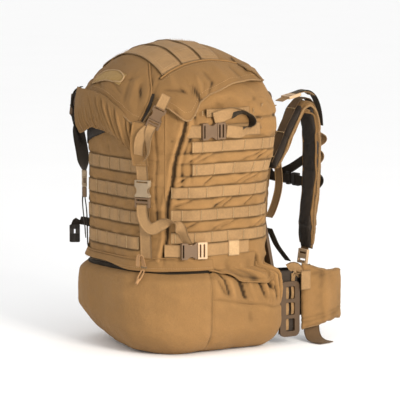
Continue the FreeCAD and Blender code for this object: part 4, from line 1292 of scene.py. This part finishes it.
def shoulder_pads():
    """The shoulder pads with their bindings, webbing, load lifters and loops."""
    along = unit(np.gradient(PAD_LINE, axis=0))
    out = np.stack([-along[:, 1], along[:, 0]], 1)
    t = np.linspace(0, 1, len(PAD_LINE))
    width = 62 - 20 * smooth(t, 0.9, 1) - 8 * (1 - smooth(t, 0, 0.12))
    sections = []
    for (y, z), o, w, k in zip(PAD_LINE, out, width, 12.5 - 3 * smooth(t, 0.92, 1)):
        a, b = rounded_ring(w, k)
        sections.append(np.stack([PAD_X + a, y + b * o[0], z + b * o[1]], 1))

    def nearest(p):
        return np.linalg.norm(p[:, None, 1:] - PAD_LINE[None], axis=2).argmin(1)

    def black(fn, fc):
        k = nearest(fc)
        inner = -(fn[:, 1] * out[k, 0] + fn[:, 2] * out[k, 1])
        middle = np.abs(np.abs(fc[:, 0]) - PAD_X) < 25
        # black mesh on the wearer's side; the outer face of the part near the bag is black as painted shade
        return middle & (((inner > 0.35) & (fc[:, 1] > 190)) | ((inner < -0.35) & (fc[:, 1] < 236)))

    def sculpt(co):
        edge = np.abs(np.abs(co[:, 0]) - PAD_X)
        d = 0.9 * wobble(co, 40, 71) - 1.6 * bump(edge, 25, 2.2)
        return d - 1.3 * bump((nearest(co) * 6.0 + 14) % 58, 29, 3) * (edge < 24) + 0.6 * wobble(co, 16, 72)
    co = pad_piece("shoulder_pad", np.array(sections), "harness", black, sculpt, 4.5, TWINS, pad_shaded_cordura)
    rows = []
    for q, d, o in list(zip(PAD_LINE, along, out))[1:-1:2]:
        run, depth = (co[:, 1:] - q) @ d, (co[:, 1:] - q) @ o
        slice_ = (np.abs(run) < 4.5) & (np.abs(depth) < 22)
        edges = [e * co[:, 0] for e in (-1, 1)]
        edges += [-depth - 2 * np.abs(e * (co[:, 0] - PAD_X) - 24) for e in (-1, 1)]
        rows.append([farthest(co, slice_, measure) for measure in edges])
    rows = np.array(rows)
    facing = np.insert(PAD_LINE + out * (11.2 + 0.8 * np.sin(t * 40))[:, None], 0, PAD_X, axis=1)
    outwards = np.insert(out, 0, 0, axis=1)
    across = (1, 0, 0)
    lifter = [(196, 491), (215, 498.5), (238, 507), (262, 509), (276, 500)]
    spare = [(232, 505), (262, 514), (286, 496), (297, 462), (299, 436)]
    for sign, side in SIDES:
        def on_pad(path):
            return [(sign * PAD_X, y, z) for y, z in path]
        for k, name in enumerate(("in", "out", "mesh_in", "mesh_out")):
            radius, mat = ((2.4, tape), (1.9, pad_shaded_cordura))[k // 2]
            tube(f"pad_binding_{side}_{name}", rows[:, k] * (sign, 1, 1), radius, mat, "harness", sides=7,
                 rounds=2, slot="webbing")
        # dark webbing as painted shade, on the pad's face towards the bag
        strap(f"pad_webbing_{side}", facing[2:] * (sign, 1, 1), across, WEB, dark_tape, "harness",
              "shoulder_pad_webbing", rounds=0)
        for k in range(4, len(PAD_LINE) - 3, 9):
            c = facing[k] * (sign, 1, 1) + outwards[k] * 1.2
            if abs(c[2] - STERNUM_Z - 15) < 32 and c[1] > 270:      # the chest strap slides here
                continue
            tack(c - (12, 0, 0), c + (12, 0, 0), outwards[k], "harness", 2.6)
        # load lifter from its ladder lock to the pad's crown, with a black spare end
        strap(f"load_lifter_{side}", on_pad(lifter), across, WEB, tape, "harness")
        strap(f"load_lifter_spare_{side}", on_pad(spare), across, 20, black_tape, "harness", rounds=4)
        # loops and a small flap on the outside of the pad
        for z, reach, name, mat in ((372, 9, "a", tape), (322, 8, "b", black_tape), (408, 16, "c", tape)):
            loop = on_pad([(291, z + 15), (293 + reach, z + 6), (293 + reach, z - 6), (291, z - 15)])
            strap(f"pad_loop_{name}_{side}", loop, across, 20, mat, "harness", rounds=4, slot="webbing")


def wing_x(y):
    return np.interp(y, [190, 208, 244, 275, 305, 320], [166, 166.5, 168, 160.5, 150, 145])


def hip_wings():
    """The hip belt's padded wings, their bindings and straps."""
    sections = []
    for y in np.linspace(199, 313, 24)[::-1]:
        low, high = np.interp(y, [190, 320], [28, 44]), np.interp(y, [190, 320], [167, 143])
        slope = np.gradient(wing_x(np.array([y - 1, y, y + 1])))[1]
        n = np.array([1, -slope]) / math.hypot(1, slope)
        end = 1 - 0.45 * smooth(y, 300, 313) - 0.3 * (1 - smooth(y, 199, 208))
        a, b = rounded_ring(high - low, 13 * end, 40, 0.35)
        sections.append(np.stack([wing_x(y) + n[0] * b, y + n[1] * b, (low + high) / 2 + a], 1))

    def edges(y):
        return np.interp(y, [190, 320], [31, 47]), np.interp(y, [190, 320], [163, 138])

    def black(fn, fc):
        low, high = edges(fc[:, 1])
        return (fn[:, 0] < -0.4) & (fc[:, 2] > low + 8) & (fc[:, 2] < high - 8)

    def sculpt(co):
        y, z = co[:, 1], co[:, 2]
        low, high = edges(y)
        d = 1.2 * wobble(co, 60, 81) + 0.5 * wobble(co, 22, 82)
        d = d - 1.2 * bump(y, 246 + 3 * np.sin(z / 25), 8) + 0.9 * bump(y, 258, 9)
        for share in (0.12, 0.19):
            d = d - 1.0 * bump(z, low + (high - low) * share + 0.10 * (y - 250), 2.6)
        for k in range(4):
            d = d - 1.1 * bump(z - 0.35 * (y - 240 - 16 * k), high - 8 - 2 * k, 3) * bump(y, 232 + 22 * k, 14)
        return d
    co = pad_piece("hip_wing", np.array(sections), "hip_wing", black, sculpt, 6, TWINS)
    rim = {name: np.array([farthest(co, np.abs(co[:, 1] - y) < 3, e * co[:, 2])
                           for y in np.linspace(203, 310, 24)]) for name, e in (("top", 1), ("low", -1))}
    tail = [(150, 237, 104), (151, 237, 60), (152, 237, 22), (160, 237, 8), (172, 238, 3.4), (184, 240, 2.4),
            (199, 243, 3.0)]
    # stitched patch that joins the wing to the frame's ladder
    y, v = np.linspace(194, 216, 8)[:, None], np.linspace(0, 1, 8)[None]
    tab = np.stack(np.broadcast_arrays(wing_x(y) + 11.5, y, 112 + 40 * v), -1)
    for sign, side in SIDES:
        m, wing = np.array([sign, 1, 1]), f"hip_wing_{side}"
        for name, line in rim.items():
            tube(f"wing_binding_{side}_{name}", line * m, 2.4, tape, wing, sides=7, rounds=2)
        strap(f"hip_strap_{side}_cloth", m * np.array(tail), (0, 1, 0), 38, dark_tape, wing,
              f"hip_strap_{side}")
        obj = slab(f"wing_tab_{side}", tab[::sign] * m, 1.8, tape, None)
        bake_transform(obj)


def block_pad(cad, x, y0, y1, z0, z1, ribs, cap):
    """A flat pad against the frame, crowned towards the wearer."""
    sections = []
    for z in np.linspace(z0, z1, 22):
        end = min(1.0, 0.75 + (min(z - z0, z1 - z)) / 40)
        a, b = rounded_ring(2 * x * (0.94 + 0.06 * end), (y1 - y0) * end, 40, 0.4)
        sections.append(np.stack([a, (y0 + y1) / 2 + b, 0 * a + z], 1))

    def black(fn, fc):
        return (fn[:, 1] > 0.45) & (np.abs(fc[:, 0]) < x - 7) & (fc[:, 2] > z0 + 7) & (fc[:, 2] < z1 - 7)

    def sculpt(co):
        d = 0.7 * wobble(co, 45, 91)
        for axis, place in ribs:
            d = d - 2.2 * bump(co[:, axis], place, 3) * (co[:, 1] > (y0 + y1) / 2)
        return d
    pad_piece(cad, np.array(sections), "pack", black, sculpt, cap)


def belt_lining():
    """Black mesh that joins the lumbar pad to the wings, and the webbing at the frame's ladders."""
    line = polyline([(98, 168), (124, 176), (142, 190), (152, 208), (154, 232)], 5, 3)
    v = np.linspace(0, 1, 22)[None]
    z = 56 + (np.linspace(150, 160, len(line))[:, None] - 56) * v
    bulge = 3 * np.sin(PI * v) * np.sin(np.linspace(0, PI, len(line)))[:, None]
    lining_grid = np.stack([line[:, :1] + bulge, line[:, 1:] + 0 * v, z], -1)
    y, v = np.linspace(152, 196, 12)[:, None], np.linspace(0, 1, 24)[None]
    backing = np.stack(np.broadcast_arrays(158 + 2 * np.sin(v * 9), y, 22 + 130 * v), -1)
    for sign, side in SIDES:
        m = np.array([sign, 1, 1])
        obj = slab(f"belt_lining_{side}", lining_grid[::sign] * m, 4.0, black_mesh, None)
        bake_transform(obj)
        slab(f"ladder_backing_{side}", backing[::sign] * m, 2.0, black_mesh)
        for k, (y, low, high) in enumerate(((168, 30, 118), (183, 62, 146))):
            weave = [(162.5 + 1.3 * math.sin(q / 5.2), y, q) for q in np.linspace(low, high, 9)]
            strap(f"ladder_lacing_{side}_{k + 1}", m * np.array(weave), (0, 1, 0), 9, tape)
        stay = [(98, 252, 149), (118, 240, 143), (142, 216, 142), (160, 196, 148), (164, 186, 152)]
        strap(f"belt_stabiliser_{side}", m * np.array(stay), (0, 0.3, 1), 22, pale_tape)
        fold = [(158, 174, 156), (164, 182, 162), (167, 192, 156), (166, 198, 146), (163, 192, 140)]
        strap(f"ladder_top_fold_{side}", m * np.array(fold), (0.5, 0.2, 1), 20, tape)
        drop = [(PAD_X, 262, 186), (PAD_X, 260, 174), (PAD_X, 256, 166)]
        strap(f"pad_end_webbing_{side}", m * np.array(drop), (1, 0, 0), WEB, dark_tape, "harness")


shoulder_pads()
belt_lining()
hip_wings()
block_pad("back_pad", 41, 162, 174, 240, 466, [(2, 300), (2, 353), (2, 406), (0, 0)], 3)
block_pad("lumbar_pad", 110, 162, 181, 43, 141, [(0, -40), (0, 40)], 4)


# ---- webbing on the frame and the harness -------------------------------------------------------
def frame_webbing():
    x, z = PAD_X, STERNUM_Z
    for sign, side in SIDES:
        m = np.array([sign, 1, 1])
        for name, path, mat, wide in (
                ("lower", [(x, 252, 143), (x, 238, 128), (x, 222, 121), (x, 188, 119)], black_tape, WEB),
                ("tab", [(x, 160, 477), (x, 170, 481), (x, 181, 484)], tape, WEB),
                ("stay", [(112, 159, 234), (112, 168, 216), (112, 178, 196), (112, 206, 164)], black_tape,
                 20)):
            strap(f"frame_strap_{name}_{side}", m * np.array(path, float), (1, 0, 0), wide, mat, "pack",
                  "frame_strap_webbing", slot="webbing")
        yoke = [(x, 193, 366), (x, 195.5, 342), (x, 197, 318), (x, 190, 290), (x, 178, 262), (x, 171, 254)]
        obj = strap(f"yoke_strap_{side}", m * np.array(yoke), (1, 0, 0), WEB, tape, None, "yoke_straps")
        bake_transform(obj)
        band = [(9, 294, z), (40, 293.2, z - 1), (70, 293.2, z), (92, 293.5, z + 1)]
        strap(f"sternum_strap_{side}", m * np.array(band), UP, 20, black_tape, "sternum_strap",
              "sternum_webbing")
    spare = [(-64, 296, z + 2), (-40, 301, z + 12), (-14, 302, z + 22), (20, 300, z + 38), (50, 297, z + 50),
             (76, 294, z + 54)]
    strap("sternum_strap_spare", spare, UP, 19, black_tape, "sternum_strap")
    handle = [(x, 180.8, z) for x, z in ((-62, 489), (-59, 502), (-50, 513), (-30, 516), (30, 516), (50, 513),
                                         (59, 502), (62, 489))]
    strap("haul_handle_webbing", handle, (0, 1, 0), WEB, tape, "pack", "haul_handle", 3.0)
    grip = [(-34, 180.8, 515.5), (0, 180.8, 516), (34, 180.8, 515.5)]
    tube("haul_handle_grip", grip, 5.2, black_mesh, sides=12, rounds=2)


frame_webbing()


# ---- camera, light and floor --------------------------------------------------------------------
def placed(name, data, x=(1, 0, 0), y=(0, 1, 0), z=(0, 0, 1), spot=(0, 0, 0)):
    """A scene object with these axes, at a place in metres."""
    obj = bpy.data.objects.new(name, data)
    bpy.context.scene.collection.objects.link(obj)
    m = np.identity(4)
    m[:3] = np.stack([x, y, z, spot], 1)
    obj.matrix_world = Matrix(m.tolist())
    return obj


def camera_and_light():
    scene = bpy.context.scene
    azimuth, elevation = math.radians(57), math.radians(7)
    distance, width = 6.0, 0.82                 # metres; the width is what the view takes in there
    aim_right, aim_up = 0.0533, 0.289           # the view's middle, from the origin
    out, right, _ = corner(MAIN, azimuth)
    to_camera = out * math.cos(elevation) + UP * math.sin(elevation)
    up = np.cross(to_camera, right)
    camera = bpy.data.cameras.new("camera")
    camera.lens = camera.sensor_width * distance / width
    eye = right * aim_right + up * aim_up + to_camera * distance
    scene.camera = placed("camera", camera, right, up, to_camera, eye)

    world = bpy.data.worlds.new("studio")
    world.use_nodes = True
    tree = world.node_tree
    tree.nodes["Background"].inputs["Strength"].default_value = 1.06
    split = node(tree, "ShaderNodeSeparateXYZ")
    tree.links.new(node(tree, "ShaderNodeTexCoord").outputs["Generated"], split.inputs[0])
    sky = blend_colour(tree, spread(tree, split.outputs[2], 0.78, 0.98), (1.0, 1.0, 1.0), (0.78, 0.78, 0.78))
    tree.links.new(sky, tree.nodes["Background"].inputs["Color"])
    scene.world = world
    scene.view_settings.view_transform = "Standard"
    for name, spot, size, power, colour in (("key", (2.45, -0.1, 0.95), 0.8, 74, (1.0, 0.94, 0.86)),
                                            ("fill", (-0.4, -2.4, 1.2), 1.6, 3, (0.96, 0.98, 1.0))):
        lamp = bpy.data.lights.new(name, "AREA")
        lamp.size, lamp.energy, lamp.color = size, power, colour
        z = unit(np.array(spot) - (0, 0, 0.3))
        x = unit(np.cross(UP, z))
        placed(name, lamp, x, np.cross(z, x), z, spot)

    mesh = bpy.data.meshes.new("floor")
    reach = 40.0
    mesh.from_pydata([(-reach, -reach, 0), (reach, -reach, 0), (reach, reach, 0), (-reach, reach, 0)], [],
                     [(0, 1, 2, 3)])
    mat, tree, bsdf = new_material("studio_floor")
    grain = noise_out(tree, object_coords(tree), 3)
    colour = blend_colour(tree, grain, (0.93, 0.93, 0.93), (0.95, 0.95, 0.95))
    tree.links.new(colour, bsdf.inputs["Base Color"])
    bsdf.inputs["Roughness"].default_value = 0.9
    mesh.materials.append(mat)
    placed("floor", mesh)


def paint_cad():
    """Procedural finishes for the CAD nodes that stay."""
    paint = {"side_buckle_sockets": acetal, "lid_buckle_sockets": worn_acetal, "lid_corner_buckles": acetal,
             "side_clip_lower_right": pale_acetal, "side_clip_lower_left": pale_acetal,
             "shoulder_ladder_locks": pale_acetal, "sternum_socket": dark_acetal, "sternum_clip": dark_acetal,
             "hip_clip": dark_acetal, "hip_socket": dark_acetal, "zip_slider": brass, "frame": frame_plastic,
             "frame_hip_ladder_right": frame_plastic, "frame_hip_ladder_left": frame_plastic}
    for name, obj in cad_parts.items():
        if obj.hide_render:
            continue
        mat = paint.get(name, acetal if "clip" in name else cordura)
        obj.data.materials.clear()
        obj.data.materials.append(mat)


camera_and_light()
paint_cad()
sew(thread_mat)
